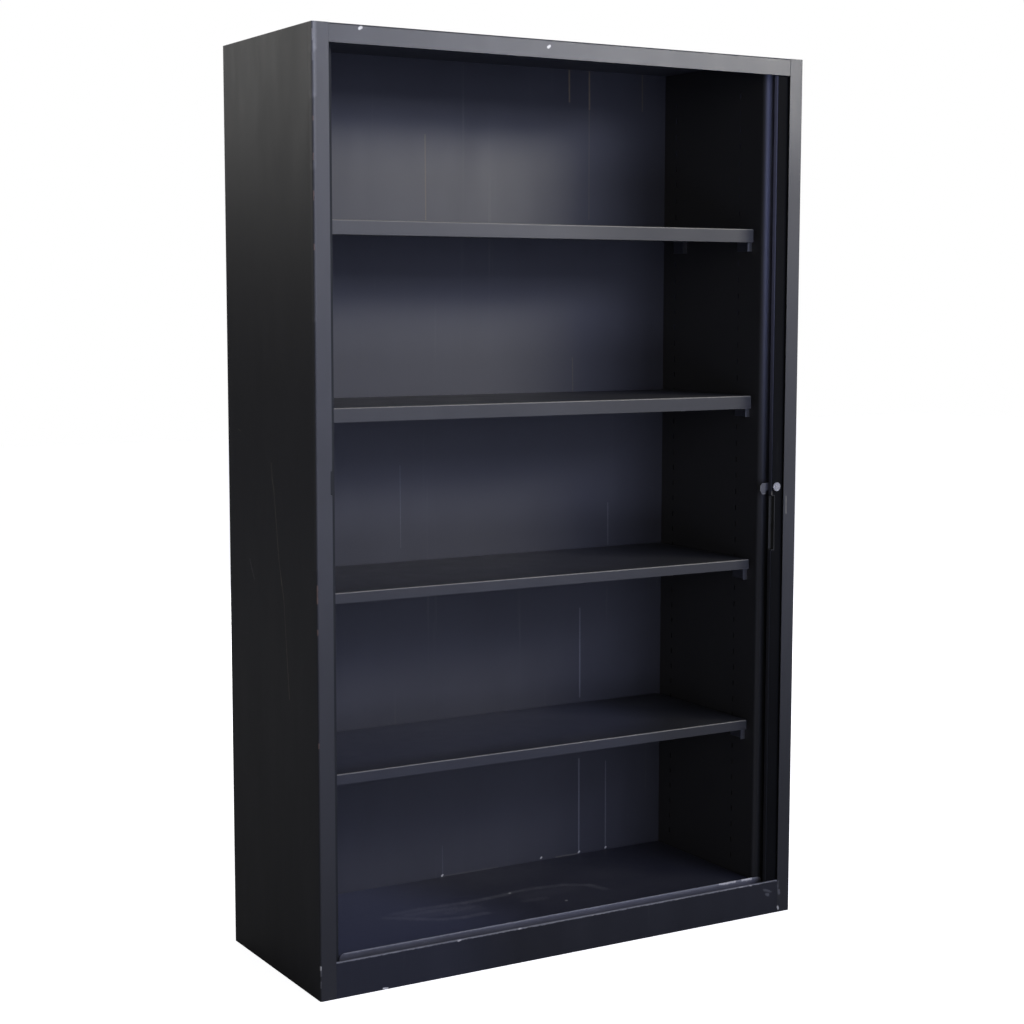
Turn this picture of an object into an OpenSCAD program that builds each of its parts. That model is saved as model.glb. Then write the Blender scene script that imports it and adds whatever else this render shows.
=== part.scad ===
// Tall steel cupboard with one sideways-running tambour door, parked open at the right.
// Millimetres, +Z up, the front faces -Y, origin at the middle of the footprint on the floor.

/* [Cabinet] */
// Overall width across the two side panels
body_w = 1220; // [1000:10:1400]
// Overall depth, from the jambs to the heads of the back screws
body_d = 457; // [400:1:550]
// Overall height, from the floor to the top sheet
body_h = 1980; // [1700:10:2100]
// Thickness of the folded sheet steel
sheet = 1; // [0.8:0.1:1.3]
// Thickness of the two back panels
back_sheet = 0.8; // [0.6:0.1:1]
// Outside radius of the folded corners
corner_r = 4; // [3:0.5:5]
// Width of each front jamb
jamb_w = 36; // [33:1:42]
// Height of the front rail under the top
rail_h = 38; // [34:1:50]
// Height of the plinth with its lip
plinth_h = 78; // [70:1:100]

/* [Shelves] */
// Height of the front face of the two upper shelves
upper_face = 30; // [24:0.5:36]
// Height of the front face of the two lower shelves
lower_face = 22.5; // [21:0.5:30]
// Distance from the jambs' face back to the shelves' front face
shelf_setback = 60; // [52:1:68]
// Spacing of the clip slots up the liners
slot_pitch = 38.1; // [36:0.1:40]

/* [Door] */
// Width of the leading stile
stile_w = 30.8; // [29:0.1:34]
// Thickness of the leading stile
stile_t = 12; // [11:0.5:12.5]
// Height of the finger recess in the stile's leading edge
pull_h = 125; // [90:1:150]
// Depth of the finger recess
pull_depth = 7.6; // [5:0.1:8]
// Height of the lock's axis above the floor
lock_z = 1011; // [950:1:1100]
// Diameter of the lock's front flange
lock_flange_d = 20; // [19.5:0.5:21]
// Spacing of the slats along the canvas
slat_pitch = 13.1; // [11.5:0.1:14.5]
// Thickness of one slat
slat_t = 8; // [7:0.5:8.5]

/* [Hidden] */
round_fn = 64;
slip = 0.2;
half_w = body_w / 2;
open_x = half_w - jamb_w;
top_in = body_h - sheet;
head_t = 1.2;
rear_face = body_d - head_t;
back_in = rear_face - sheet - back_sheet;

// Heights of the floor, its tray and the groove's upstand
tray_drop = 20;
lip_r = 3;
lip_reach = 3.4;
plinth_foot = 22;
upstand_rise = 4.5;
upstand_r = 10;
upstand_end_gap = 23;
upstand_foot = 10;
base_top = plinth_h - tray_drop;
floor_top = plinth_h - lip_r;
upstand_top = plinth_h + upstand_rise;

// Flanges of the panels and of the tray
end_flange = 25;
rail_return = 30;
jamb_hem = 12;
flange_front = 30;
flange_rear_gap = 8;
tray_flange = 20;
tray_front = 4.6;
tray_gap = 0.4;

// Path of the door: front run, bend, side run, bend and rear run
bend_r = 25;
canvas_t = 0.8;
front_run = 12;
side_run_gap = 10;
rear_run_gap = 12.8;
side_run_x = half_w - side_run_gap;
rear_run = rear_face - rear_run_gap;
bend_x = side_run_x - bend_r;
front_bend_y = front_run + bend_r;
rear_bend_y = rear_run - bend_r;
back_r = bend_r - slat_t / 2 - canvas_t / 2;
arc_len = back_r * PI / 2;
side_len = rear_bend_y - front_bend_y;

// Leading stile, its travel and the slats that follow it
stile_x = bend_x - stile_w;
stile_front = front_run - stile_t / 2;
stile_back = front_run + stile_t / 2;
close_gap = 2;
travel = stile_x + open_x - close_gap;
stile_nose = 3;
curtain_spare = 50;
slat_count = round((travel + curtain_spare) / slat_pitch);
slat_gap = 0.6;
slat_chamfer = 1.5;
slat_wall = 1.1;
curtain_len = slat_count * slat_pitch;
bar_w = 14;
bar_t = 9;
bar_gap = 12;

// Tracks
track_wall = 1.5;
groove = stile_t + 1.5;
track_half = groove / 2 + track_wall;
low_track_h = 10;
high_track_h = 28;
track_gap = 0.5;
run_gap = 0.5;
stile_gap = 1;
head_gap = 12;
guide_gap = 14;
guide_slim = 0.5;
stop_w = 10;
end_x = bend_x - (curtain_len - 2 * arc_len - side_len);
track_end_x = end_x - bar_w - bar_gap;
slat_foot = base_top + track_wall + run_gap;
slat_head = body_h - head_gap;
stile_foot = base_top + low_track_h + stile_gap;
stile_head = top_in - high_track_h - stile_gap;
canvas_foot = base_top + 20;
canvas_head = top_in - 25;

// Liners, inner back and the slots for the clips
liner_gap = 13.2;
left_liner_gap = 21;
liner_x = stile_x - liner_gap;
left_liner_x = -open_x + left_liner_gap;
nose_r = 12;
liner_front = 34;
liner_fin = 16;
rear_space = 14;
inner_back_y = rear_run - rear_space;
liner_flange = 20;
slot_w = 3.5;
slot_h = 12;
slot_low_gap = 30;
slot_high_gap = 40;
front_slot_y = shelf_setback + 65;
rear_slot_y = inner_back_y - 49;
slot_first = ceil((floor_top + slot_low_gap) / slot_pitch);
slot_last = floor((body_h - slot_high_gap) / slot_pitch);

// Shelves stand on the slot grid, equally spaced
shelf_steps = round((body_h - floor_top) / 5 / slot_pitch);
shelf_first = round((floor_top + shelf_steps * slot_pitch) / slot_pitch);
shelf_gaps = [5, 9, 4];
shelf_left = left_liner_x + shelf_gaps[0];
shelf_right = liner_x - shelf_gaps[1];
shelf_rear = inner_back_y - shelf_gaps[2];
shelf_flange = 20;
shelf_corner_gap = 0.5;
shelf_hem = 11;
shelf_bend_r = 2.4;

// Clips
clip_t = 1.5;
clip_reach = 12;
clip_drop = 50;
clip_len = 54;
clip_slot_at = 48;
tongue_w = 3;
tongue_h = 11;
tongue_drop = 5.5;
tongue_gap = 0.3;

// Lock, hook and keeper
lock_inset = 12.8;
lock_x = stile_x + lock_inset;
barrel_d = 18;
barrel_clear = 0.1;
plug_d = 12;
plug_clear = 0.05;
flange_t = 2.6;
key_w = 1.6;
key_h = 7;
key_depth = 3;
hook_front = stile_back + 0.5;
hook_t = 2;
hook_hub_d = 17;
hook_boss = 0.6;
hook_rear = hook_front + hook_t + hook_boss;
plug_neck_d = 8;
cam_screw_d = 9;
cam_screw_t = 2.2;
keeper_t = 2;
plate_x = -open_x - sheet;
keeper_front = 8.4;
keeper_end = 16;
keeper_low = lock_z - 18;
keeper_high = lock_z + 39;
keeper_slot_y = [hook_front - 1.5, hook_front + hook_t + 2];
keeper_screw_y = hook_front - 3;
keeper_screw_z = [keeper_low - 9, keeper_high + 9];
keeper_screw_d = 4.2;
keeper_screw_head_d = 7;
return_depth = 24;
notch_low = lock_z + 36;
notch_h = 49;
notch_w = 4;
notch_depth = 8;

// Rubber buffers that the stile closes against
buffer_t = close_gap - 0.3;
buffer_h = 40;
buffer_inset = 2;
buffer_at = 0.15;

// Finger recess
pull_top = lock_z - 21;
pull_low = pull_top - pull_h;
pull_wall = 1.5;
pull_back = stile_back - 0.4;

// Screws in the back
screw_d = 3.8;
screw_hole_d = 4;
screw_head_d = 8;
screw_tip = 0.6;
side_screws = 7;
row_screws = 5;
rear_flange = 15;
top_flange = 30;
screw_end_gap = 90;
row_end_gap = 110;
side_screw_x = half_w - corner_r - rear_flange / 2;
top_screw_z = body_h - 16;
low_screw_z = base_top - 10;

// Shared shapes. They are drawn with Y counted from the jambs' face and moved to the origin by placed.

module placed() {
    translate([0, -body_d / 2, 0])
        children();
}

module box(x, y, z) {
    translate([x[0], y[0], z[0]])
        cube([x[1] - x[0], y[1] - y[0], z[1] - z[0]]);
}

module area(x, y) {
    translate([x[0], y[0]])
        square([x[1] - x[0], y[1] - y[0]]);
}

// Quarter of a folded corner; side gives the quadrant it fills
module fold(centre, r, side) {
    translate(centre)
        intersection() {
            difference() {
                circle(r = r, $fn = round_fn);
                circle(r = r - sheet, $fn = round_fn);
            }
            translate([min(side[0], 0) * r, min(side[1], 0) * r])
                square(r);
        }
}

// A section drawn in Y and Z, run along X
module along_x(x) {
    translate([x[0], 0, 0])
        rotate([90, 0, 90])
            linear_extrude(x[1] - x[0])
                children();
}

// A round bar along Y
module bar_y(x, y, z, d) {
    translate([x, y[1], z])
        rotate([90, 0, 0])
            cylinder(h = y[1] - y[0], d = d, $fn = round_fn);
}

// A round bar along X
module bar_x(x, y, z, d) {
    translate([x[0], y, z])
        rotate([0, 90, 0])
            cylinder(h = x[1] - x[0], d = d, $fn = round_fn);
}

// Where the door's path lies and which way it heads, s mm along the canvas from the stile
function heading(s) =
    s < arc_len ? s / back_r * 180 / PI :
    s < arc_len + side_len ? 90 :
    s < 2 * arc_len + side_len ? 90 + (s - arc_len - side_len) / back_r * 180 / PI :
    180;

function spot(s) =
    s < arc_len ? [bend_x + bend_r * sin(heading(s)), front_bend_y - bend_r * cos(heading(s))] :
    s < arc_len + side_len ? [side_run_x, front_bend_y + s - arc_len] :
    s < 2 * arc_len + side_len
        ? [bend_x + bend_r * sin(heading(s)), rear_bend_y - bend_r * cos(heading(s))] :
    [bend_x - (s - 2 * arc_len - side_len), rear_run];

// Everything inside the bent part of the path, out to an offset from its centre line
module run_inside(off, end_x) {
    intersection() {
        union() {
            translate([bend_x, front_bend_y])
                circle(r = bend_r + off, $fn = round_fn);
            translate([bend_x, rear_bend_y])
                circle(r = bend_r + off, $fn = round_fn);
            area([bend_x, side_run_x + off], [front_bend_y, rear_bend_y]);
            area([end_x, bend_x], [front_bend_y, rear_run + off]);
        }
        union() {
            area([bend_x, half_w], [0, body_d]);
            area([end_x, bend_x + 1], [front_bend_y, body_d]);
        }
    }
}

module run_band(low, high, end_x) {
    difference() {
        run_inside(high, end_x);
        run_inside(low, end_x);
    }
}

// Screw positions in the back, as [x, z, head face]
side_screw_step = (body_h - 2 * screw_end_gap) / (side_screws - 1);
row_screw_step = (body_w - 2 * row_end_gap) / (row_screws - 1);
side_screw_z = [for (i = [0:side_screws - 1]) screw_end_gap + i * side_screw_step];
row_screw_x = [for (i = [0:row_screws - 1]) (i - (row_screws - 1) / 2) * row_screw_step];
flange_screws = [
    for (x = [-side_screw_x, side_screw_x], z = side_screw_z) [x, z],
    for (x = row_screw_x) [x, top_screw_z]
];
tray_screws = [for (x = row_screw_x) [x, low_screw_z]];

module screw_holes(spots) {
    for (p = spots)
        bar_y(p[0], [rear_face - 10, body_d + 1], p[1], screw_hole_d);
}

// Casing

module side_section() {
    area([half_w - sheet, half_w], [corner_r, rear_face - corner_r]);
    fold([half_w - corner_r, corner_r], corner_r, [1, -1]);
    area([open_x, half_w - corner_r], [0, sheet]);
    fold([half_w - corner_r, rear_face - corner_r], corner_r, [1, 1]);
    area([half_w - corner_r - rear_flange, half_w - corner_r], [rear_face - sheet, rear_face]);
}

module side_shell() {
    difference() {
        union() {
            linear_extrude(body_h)
                side_section();
            for (z = [[0, sheet], [top_in - sheet, top_in]])
                box([half_w - end_flange, half_w - sheet / 2], [flange_front, rear_face - flange_rear_gap], z);
        }
        screw_holes(flange_screws);
    }
}

module left_side_panel() {
    color("#33353a")
        placed()
            difference() {
                union() {
                    mirror([1, 0, 0])
                        side_shell();
                    box([-open_x - sheet, -open_x], [0, sheet + return_depth], [0, top_in - slip]);
                }
                box([-open_x - 2 * sheet, -open_x + 1], keeper_slot_y, [keeper_low, keeper_high]);
                box([-open_x - notch_w, -open_x + 1], [-1, notch_depth], [notch_low, notch_low + notch_h]);
                for (z = keeper_screw_z)
                    bar_x([-open_x - 2 * sheet, -open_x + 1], keeper_screw_y, z, keeper_screw_d);
            }
}

module right_side_panel() {
    color("#33353a")
        placed() {
            side_shell();
            box([open_x, open_x + jamb_hem], [sheet / 2, 2 * sheet], [0, top_in - slip]);
        }
}

module top_panel() {
    color("#33353a")
        placed()
            difference() {
                union() {
                    along_x([-open_x + slip, open_x - slip]) {
                        area([0, sheet], [body_h - rail_h, body_h - corner_r]);
                        fold([corner_r, body_h - corner_r], corner_r, [-1, 1]);
                        area([corner_r, rail_return], [top_in, body_h]);
                        area([0, lip_reach], [body_h - rail_h, body_h - rail_h + sheet]);
                    }
                    box([-half_w + corner_r + 0.5, half_w - corner_r - 0.5], [sheet + lip_reach, rail_return - 1],
                        [top_in, body_h]);
                    box([-half_w + sheet + slip, half_w - sheet - slip], [corner_r + 1, rear_face - corner_r - 1],
                        [top_in, body_h]);
                    along_x([-side_screw_x + screw_head_d, side_screw_x - screw_head_d]) {
                        area([rear_face - top_flange, rear_face], [top_in, body_h]);
                        area([rear_face - sheet, rear_face], [body_h - top_flange, body_h]);
                    }
                }
                screw_holes(flange_screws);
            }
}

module plinth() {
    color("#33353a")
        placed()
            along_x([-open_x + slip, open_x - slip]) {
                area([0, sheet], [0, plinth_h - lip_r]);
                fold([lip_r, plinth_h - lip_r], lip_r, [-1, 1]);
                area([lip_r - 0.1, lip_reach], [plinth_h - sheet, plinth_h]);
                area([0, plinth_foot], [0, sheet]);
            }
}

module base_tray() {
    pan = [base_top - sheet, base_top];
    drop = [base_top - tray_flange, base_top];
    color("#3a3c42")
        placed()
            difference() {
                union() {
                    box([-open_x + slip, open_x - slip], [sheet, tray_front + tray_gap], pan);
                    box([-open_x + slip, half_w - sheet], [tray_front, back_in], pan);
                    box([-half_w + sheet, -open_x + 1], [sheet + return_depth + tray_gap, back_in], pan);
                    box([-open_x + slip, open_x - slip], [sheet, 2 * sheet], drop);
                    for (x = [-half_w + sheet, half_w - 2 * sheet])
                        box([x, x + sheet], [flange_front, rear_face - flange_rear_gap - 2], drop);
                    box([-half_w + corner_r + 1, half_w - corner_r - 1], [back_in - sheet, back_in], drop);
                }
                screw_holes(tray_screws);
                for (s = [-1, 1])
                    translate([s * half_w, 0, 0])
                        box([-corner_r - 2, corner_r + 2], [rear_face - flange_rear_gap, body_d],
                            [base_top - tray_flange - 1, base_top + 1]);
            }
}

module floor_pan() {
    color("#3f4147")
        placed()
            difference() {
                box([left_liner_x + 1, liner_x - 1], [liner_front, inner_back_y - slip], [base_top, floor_top]);
                box([left_liner_x + 1 + sheet, liner_x - 1 - sheet],
                    [liner_front + sheet, inner_back_y - slip - sheet], [base_top - 1, floor_top - sheet]);
            }
}

module front_upstand() {
    upstand_half = open_x - upstand_end_gap;
    color("#55575d")
        placed() {
            translate([0, liner_front - slip, 0])
                rotate([90, 0, 0])
                    linear_extrude(sheet) {
                        area([-upstand_half, upstand_half], [base_top, upstand_top - upstand_r]);
                        area([-upstand_half + upstand_r, upstand_half - upstand_r], [base_top, upstand_top]);
                        for (s = [-1, 1])
                            translate([s * (upstand_half - upstand_r), upstand_top - upstand_r])
                                circle(r = upstand_r, $fn = round_fn);
                    }
            box([-upstand_half, upstand_half], [liner_front - upstand_foot, liner_front - slip],
                [base_top, base_top + sheet]);
        }
}

// Linings and backs

module slot_cuts(x) {
    for (y = [front_slot_y, rear_slot_y], k = [slot_first:slot_last])
        box(x, [y - slot_w / 2, y + slot_w / 2], [k * slot_pitch - slot_h / 2, k * slot_pitch + slot_h / 2]);
}

module right_liner() {
    color("#2f3137")
        placed()
            difference() {
                translate([0, 0, base_top])
                    linear_extrude(top_in - base_top) {
                        area([liner_x, liner_x + sheet], [liner_front + nose_r, inner_back_y]);
                        fold([liner_x + nose_r, liner_front + nose_r], nose_r, [-1, -1]);
                        area([liner_x + nose_r, bend_x], [liner_front, liner_front + sheet]);
                        area([bend_x - sheet, bend_x], [liner_front, liner_front + liner_fin]);
                        area([liner_x, liner_x + liner_flange], [inner_back_y - sheet, inner_back_y]);
                    }
                slot_cuts([liner_x - 1, liner_x + sheet + 1]);
            }
}

module left_liner() {
    color("#2f3137")
        placed()
            difference() {
                translate([0, 0, base_top])
                    linear_extrude(top_in - base_top) {
                        area([left_liner_x - sheet, left_liner_x], [liner_front, inner_back_y]);
                        area([left_liner_x - liner_flange, left_liner_x], [liner_front, liner_front + sheet]);
                        area([left_liner_x - liner_flange, left_liner_x], [inner_back_y - sheet, inner_back_y]);
                    }
                slot_cuts([left_liner_x - sheet - 1, left_liner_x + 1]);
            }
}

module inner_back() {
    color("#4a4c52")
        placed()
            box([left_liner_x - liner_flange, liner_x + liner_flange], [inner_back_y, inner_back_y + back_sheet],
                [base_top, top_in]);
}

module outer_back() {
    back_half = half_w - corner_r - 0.5;
    color("#3a3c42")
        placed()
            difference() {
                box([-back_half, back_half], [back_in, rear_face - sheet], [sheet + slip, top_in - slip]);
                screw_holes(flange_screws);
                screw_holes(tray_screws);
            }
}

module back_screw(x, face, z) {
    bar_y(x, [back_in - sheet - screw_tip, face], z, screw_d);
    bar_y(x, [face, face + head_t], z, screw_head_d);
}

module back_screws() {
    color("#8d9096")
        placed() {
            for (p = flange_screws)
                back_screw(p[0], rear_face, p[1]);
            for (p = tray_screws)
                back_screw(p[0], rear_face - sheet, p[1]);
        }
}

// Tracks

module low_track_front() {
    color("#1d1e20")
        placed()
            difference() {
                box([-open_x + track_gap, bend_x], [front_run - track_half, front_run + track_half],
                    [base_top, base_top + low_track_h]);
                box([-open_x, bend_x + 1], [front_run - groove / 2, front_run + groove / 2],
                    [base_top + track_wall, base_top + low_track_h + 1]);
            }
}

module low_track_rear() {
    color("#1d1e20")
        placed()
            translate([0, 0, base_top])
                difference() {
                    linear_extrude(low_track_h)
                        run_band(-track_half, track_half, track_end_x);
                    translate([0, 0, track_wall])
                        linear_extrude(low_track_h)
                            run_band(-groove / 2, groove / 2, track_end_x - 1);
                }
}

module high_track_front() {
    color("#1d1e20")
        placed()
            difference() {
                box([-open_x + track_gap, bend_x], [front_run - track_half, front_run + track_half],
                    [top_in - high_track_h, top_in]);
                box([-open_x, bend_x + 1], [front_run - groove / 2, front_run + groove / 2],
                    [top_in - high_track_h - 1, top_in - track_wall]);
            }
}

module high_track_rear() {
    color("#1d1e20")
        placed()
            translate([0, 0, top_in - high_track_h])
                difference() {
                    linear_extrude(high_track_h - sheet)
                        run_band(-track_half, track_half, track_end_x);
                    translate([0, 0, -1])
                        linear_extrude(high_track_h - sheet - track_wall + 1)
                            run_band(-groove / 2, groove / 2, track_end_x - 1);
                }
}

// Shelves and their clips, counted from the lowest

function shelf_top(i) = (shelf_first + i * shelf_steps) * slot_pitch;

module shelf(i) {
    z = shelf_top(i);
    face = i < 2 ? lower_face : upper_face;
    front = shelf_setback;
    color("#4a4c52")
        placed() {
            along_x([shelf_left, shelf_right]) {
                area([front, front + sheet], [z - face, z - shelf_bend_r]);
                fold([front + shelf_bend_r, z - shelf_bend_r], shelf_bend_r, [-1, 1]);
                area([front + shelf_bend_r, shelf_rear], [z - sheet, z]);
                area([front, front + shelf_hem], [z - face, z - face + sheet]);
                area([shelf_rear - sheet, shelf_rear], [z - shelf_flange, z]);
            }
            for (x = [shelf_left, shelf_right - sheet])
                box([x, x + sheet], [front + sheet + shelf_corner_gap, shelf_rear], [z - shelf_flange, z]);
        }
}

// One clip against a wall at x, reaching towards the middle; side is 1 on the right and -1 on the left
module clip(x, slot_y, z, side) {
    low = z - clip_drop;
    high = z - shelf_flange;
    web = slot_y - clip_slot_at;
    hole_z = z - slot_pitch;
    tongue_y = [slot_y - tongue_w / 2, slot_y + tongue_w / 2];
    translate([x, 0, 0])
        scale([side, 1, 1]) {
            box([-clip_t, 0], [web, web + clip_len], [low, high]);
            box([-clip_reach, 0], [web, web + clip_len], [high - clip_t, high]);
            box([-clip_reach, 0], [web, web + clip_t], [low, high]);
            box([-slip, sheet + tongue_gap], tongue_y, [hole_z - tongue_h / 2, hole_z + tongue_h / 2]);
            box([sheet + tongue_gap, sheet + tongue_gap + clip_t], tongue_y,
                [hole_z - tongue_h / 2 - tongue_drop, hole_z + tongue_h / 2]);
        }
}

module shelf_clips(i) {
    color("#b9bcc2")
        placed()
            for (y = [front_slot_y, rear_slot_y]) {
                clip(liner_x, y, shelf_top(i), 1);
                clip(left_liner_x, y, shelf_top(i), -1);
            }
}

// Leading stile and what it carries

module leading_stile() {
    nose = stile_nose;
    color("#151618")
        placed()
            difference() {
                translate([0, 0, stile_foot])
                    linear_extrude(stile_head - stile_foot) {
                        area([stile_x + nose, bend_x - slip], [stile_front, stile_back]);
                        area([stile_x, stile_x + nose + 1], [stile_front + nose, stile_back]);
                        translate([stile_x + nose, stile_front + nose])
                            circle(r = nose, $fn = round_fn);
                    }
                box([stile_x - 1, stile_x + pull_depth + pull_wall], [stile_front - 1, stile_back + 1],
                    [pull_low - pull_wall, pull_top + pull_wall]);
                bar_y(lock_x, [stile_front - 1, stile_back + 1], lock_z, barrel_d + 2 * barrel_clear);
            }
}

module finger_pull() {
    color("#3a3c40")
        placed()
            difference() {
                box([stile_x, stile_x + pull_depth + pull_wall], [stile_front, pull_back],
                    [pull_low - pull_wall, pull_top + pull_wall]);
                box([stile_x - 1, stile_x + pull_depth], [stile_front - 1, pull_back - pull_wall],
                    [pull_low, pull_top]);
            }
}

module guide(z) {
    box([stile_x + 1, bend_x - 1], [stile_front + guide_slim, stile_back - guide_slim], z);
}

module stile_top_guide() {
    color("#26272a")
        placed()
            guide([stile_head, body_h - guide_gap]);
}

module stile_foot_guide() {
    color("#26272a")
        placed()
            guide([slat_foot, stile_foot]);
}

module lock_barrel() {
    color("#c9ccd1")
        placed()
            difference() {
                union() {
                    bar_y(lock_x, [stile_front - flange_t, stile_front], lock_z, lock_flange_d);
                    bar_y(lock_x, [stile_front - 0.5, stile_back], lock_z, barrel_d);
                }
                bar_y(lock_x, [0, stile_back + 1], lock_z, plug_d + 2 * plug_clear);
            }
}

module lock_plug() {
    color("#a9acb1")
        placed()
            difference() {
                union() {
                    bar_y(lock_x, [stile_front - flange_t + 0.3, stile_back + slip], lock_z, plug_d);
                    bar_y(lock_x, [stile_back, hook_rear], lock_z, plug_neck_d);
                }
                box([lock_x - key_w / 2, lock_x + key_w / 2], [0, stile_front + key_depth],
                    [lock_z - key_h / 2, lock_z + key_h / 2]);
            }
}

// Claw that swings down behind the keeper; its rest is the thrown place seen in the photo
module hook_cam() {
    outline = [
        [2, -7], [-14, -9], [-20, -9], [-22, -17], [-31, -17], [-36, -9], [-36, 2], [-31, 8], [2, 8]
    ];
    color("#c9ccd1")
        placed()
            difference() {
                union() {
                    translate([lock_x, hook_front + hook_t, lock_z])
                        rotate([90, 0, 0])
                            linear_extrude(hook_t)
                                polygon(outline);
                    bar_y(lock_x, [hook_front, hook_rear], lock_z, hook_hub_d);
                }
                bar_y(lock_x, [hook_front - 1, hook_front + hook_t + 1], lock_z, plug_neck_d);
            }
}

module cam_screw() {
    color("#8d9096")
        placed()
            bar_y(lock_x, [hook_rear, hook_rear + cam_screw_t], lock_z, cam_screw_d);
}

module keeper_plate() {
    color("#8d9096")
        placed()
            difference() {
                box([plate_x - keeper_t, plate_x], [keeper_front, sheet + return_depth],
                    [keeper_low - keeper_end, keeper_high + keeper_end]);
                box([plate_x - keeper_t - 1, plate_x + 1], keeper_slot_y, [keeper_low, keeper_high]);
                for (z = keeper_screw_z)
                    bar_x([plate_x - keeper_t - 1, plate_x + 1], keeper_screw_y, z, keeper_screw_d);
            }
}

module keeper_screws() {
    color("#8d9096")
        placed()
            for (z = keeper_screw_z) {
                bar_x([plate_x - keeper_t - 2, -open_x], keeper_screw_y, z, keeper_screw_d);
                bar_x([plate_x - keeper_t - 2, plate_x - keeper_t], keeper_screw_y, z, keeper_screw_head_d);
            }
}

module closing_buffers() {
    color("#101113")
        placed()
            for (z = [body_h * buffer_at, body_h * (1 - buffer_at)])
                box([-open_x, -open_x + buffer_t], [stile_front + buffer_inset, stile_back - buffer_inset],
                    [z, z + buffer_h]);
}

// Stored length of the door

module slat_section() {
    half = (slat_pitch - slat_gap) / 2;
    t = slat_t / 2;
    difference() {
        polygon([
            [-half, t], [half, t], [half, slat_chamfer - t], [half - slat_chamfer, -t],
            [slat_chamfer - half, -t], [-half, slat_chamfer - t]
        ]);
        area([slat_wall - half, half - slat_wall], [slat_wall - t, t - slat_wall]);
    }
}

module slats(from, to) {
    placed()
        translate([0, 0, slat_foot])
            linear_extrude(slat_head - slat_foot)
                for (i = [0:slat_count - 1]) {
                    s = (i + 0.5) * slat_pitch;
                    if (s >= from && s < to)
                        translate(spot(s))
                            rotate(heading(s))
                                slat_section();
                }
}

module slats_front_bend() {
    color("#18191b")
        slats(0, arc_len);
}

module slats_side_run() {
    color("#18191b")
        slats(arc_len, arc_len + side_len);
}

module slats_rear_bend() {
    color("#18191b")
        slats(arc_len + side_len, 2 * arc_len + side_len);
}

module slats_rear_run() {
    color("#18191b")
        slats(2 * arc_len + side_len, curtain_len);
}

module curtain_canvas() {
    color("#5a5148")
        placed()
            translate([0, 0, canvas_foot])
                linear_extrude(canvas_head - canvas_foot)
                    difference() {
                        run_band(-slat_t / 2 - canvas_t, -slat_t / 2, end_x);
                        area([bend_x - 1, bend_x + 0.6], [0, front_bend_y]);
                    }
}

module curtain_end_bar() {
    color("#26272a")
        placed()
            box([end_x - bar_w, end_x], [rear_run - bar_t / 2, rear_run + bar_t / 2], [slat_foot, slat_head]);
}

module curtain_stop() {
    color("#26272a")
        placed()
            for (z = [[base_top + track_wall, base_top + low_track_h],
                      [top_in - high_track_h, top_in - sheet - track_wall]])
                box([track_end_x, track_end_x + stop_w], [rear_run - groove / 2, rear_run + groove / 2], z);
}

left_side_panel();
right_side_panel();
top_panel();
plinth();
base_tray();
floor_pan();
front_upstand();
left_liner();
right_liner();
inner_back();
outer_back();
back_screws();
low_track_front();
low_track_rear();
high_track_front();
high_track_rear();
shelf(0);  // shelf_1
shelf(1);  // shelf_2
shelf(2);  // shelf_3
shelf(3);  // shelf_4
shelf_clips(0);  // shelf_clips_1
shelf_clips(1);  // shelf_clips_2
shelf_clips(2);  // shelf_clips_3
shelf_clips(3);  // shelf_clips_4
leading_stile();
finger_pull();
stile_top_guide();
stile_foot_guide();
lock_barrel();
lock_plug();
hook_cam();
cam_screw();
keeper_plate();
keeper_screws();
closing_buffers();
slats_front_bend();
slats_side_run();
slats_rear_bend();
slats_rear_run();
curtain_canvas();
curtain_end_bar();
curtain_stop();
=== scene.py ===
"""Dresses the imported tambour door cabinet: its paint, plastics and metals, the drawn-out
length of its door, its back screws, and a plain pale studio seen from the photograph's place.

Everything is in metres in the cabinet's own frame: +Z up, the open front faces -Y, and the
door is parked against the jamb at +X.
"""
import logging
import math
from collections.abc import Iterable
from dataclasses import dataclass
from enum import Enum
from typing import Union

import bpy
from mathutils import Matrix, Vector


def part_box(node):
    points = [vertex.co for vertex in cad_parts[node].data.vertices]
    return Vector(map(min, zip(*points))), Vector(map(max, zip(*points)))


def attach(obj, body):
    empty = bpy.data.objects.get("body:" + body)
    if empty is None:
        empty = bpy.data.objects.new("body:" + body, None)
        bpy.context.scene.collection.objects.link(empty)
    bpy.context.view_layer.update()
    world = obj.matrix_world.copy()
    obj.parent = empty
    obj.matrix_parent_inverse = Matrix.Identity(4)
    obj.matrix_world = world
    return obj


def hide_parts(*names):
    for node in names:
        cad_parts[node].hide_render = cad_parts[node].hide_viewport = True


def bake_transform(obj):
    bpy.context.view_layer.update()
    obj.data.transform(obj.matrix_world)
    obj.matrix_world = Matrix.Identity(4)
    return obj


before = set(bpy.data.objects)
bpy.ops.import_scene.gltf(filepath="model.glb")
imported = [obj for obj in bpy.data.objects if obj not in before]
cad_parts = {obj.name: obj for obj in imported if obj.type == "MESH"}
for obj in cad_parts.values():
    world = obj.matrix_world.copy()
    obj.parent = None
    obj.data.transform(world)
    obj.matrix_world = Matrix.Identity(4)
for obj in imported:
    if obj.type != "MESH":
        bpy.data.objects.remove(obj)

log = logging.getLogger("cabinet")

Colour = tuple[float, float, float]
Point = tuple[float, float, float]
Flat = tuple[float, float]
Box = tuple[Vector, Vector]
Tree = bpy.types.NodeTree
Node = bpy.types.Node
Material = bpy.types.Material
Socket = bpy.types.NodeSocket
Sockets = bpy.types.bpy_prop_collection
Value = Union[Socket, float, int, bool, tuple]

FRONT = -0.2285
HALF_W = 0.61
BACK_FACE = 0.2002
FLOOR_Z = 0.075
# Heights over which painted sheen fades from its low colour to its high one.
SHEEN_HEIGHTS = (0.8, 1.8)

# Painted shade: the colour that panels darken to near the floor.
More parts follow.
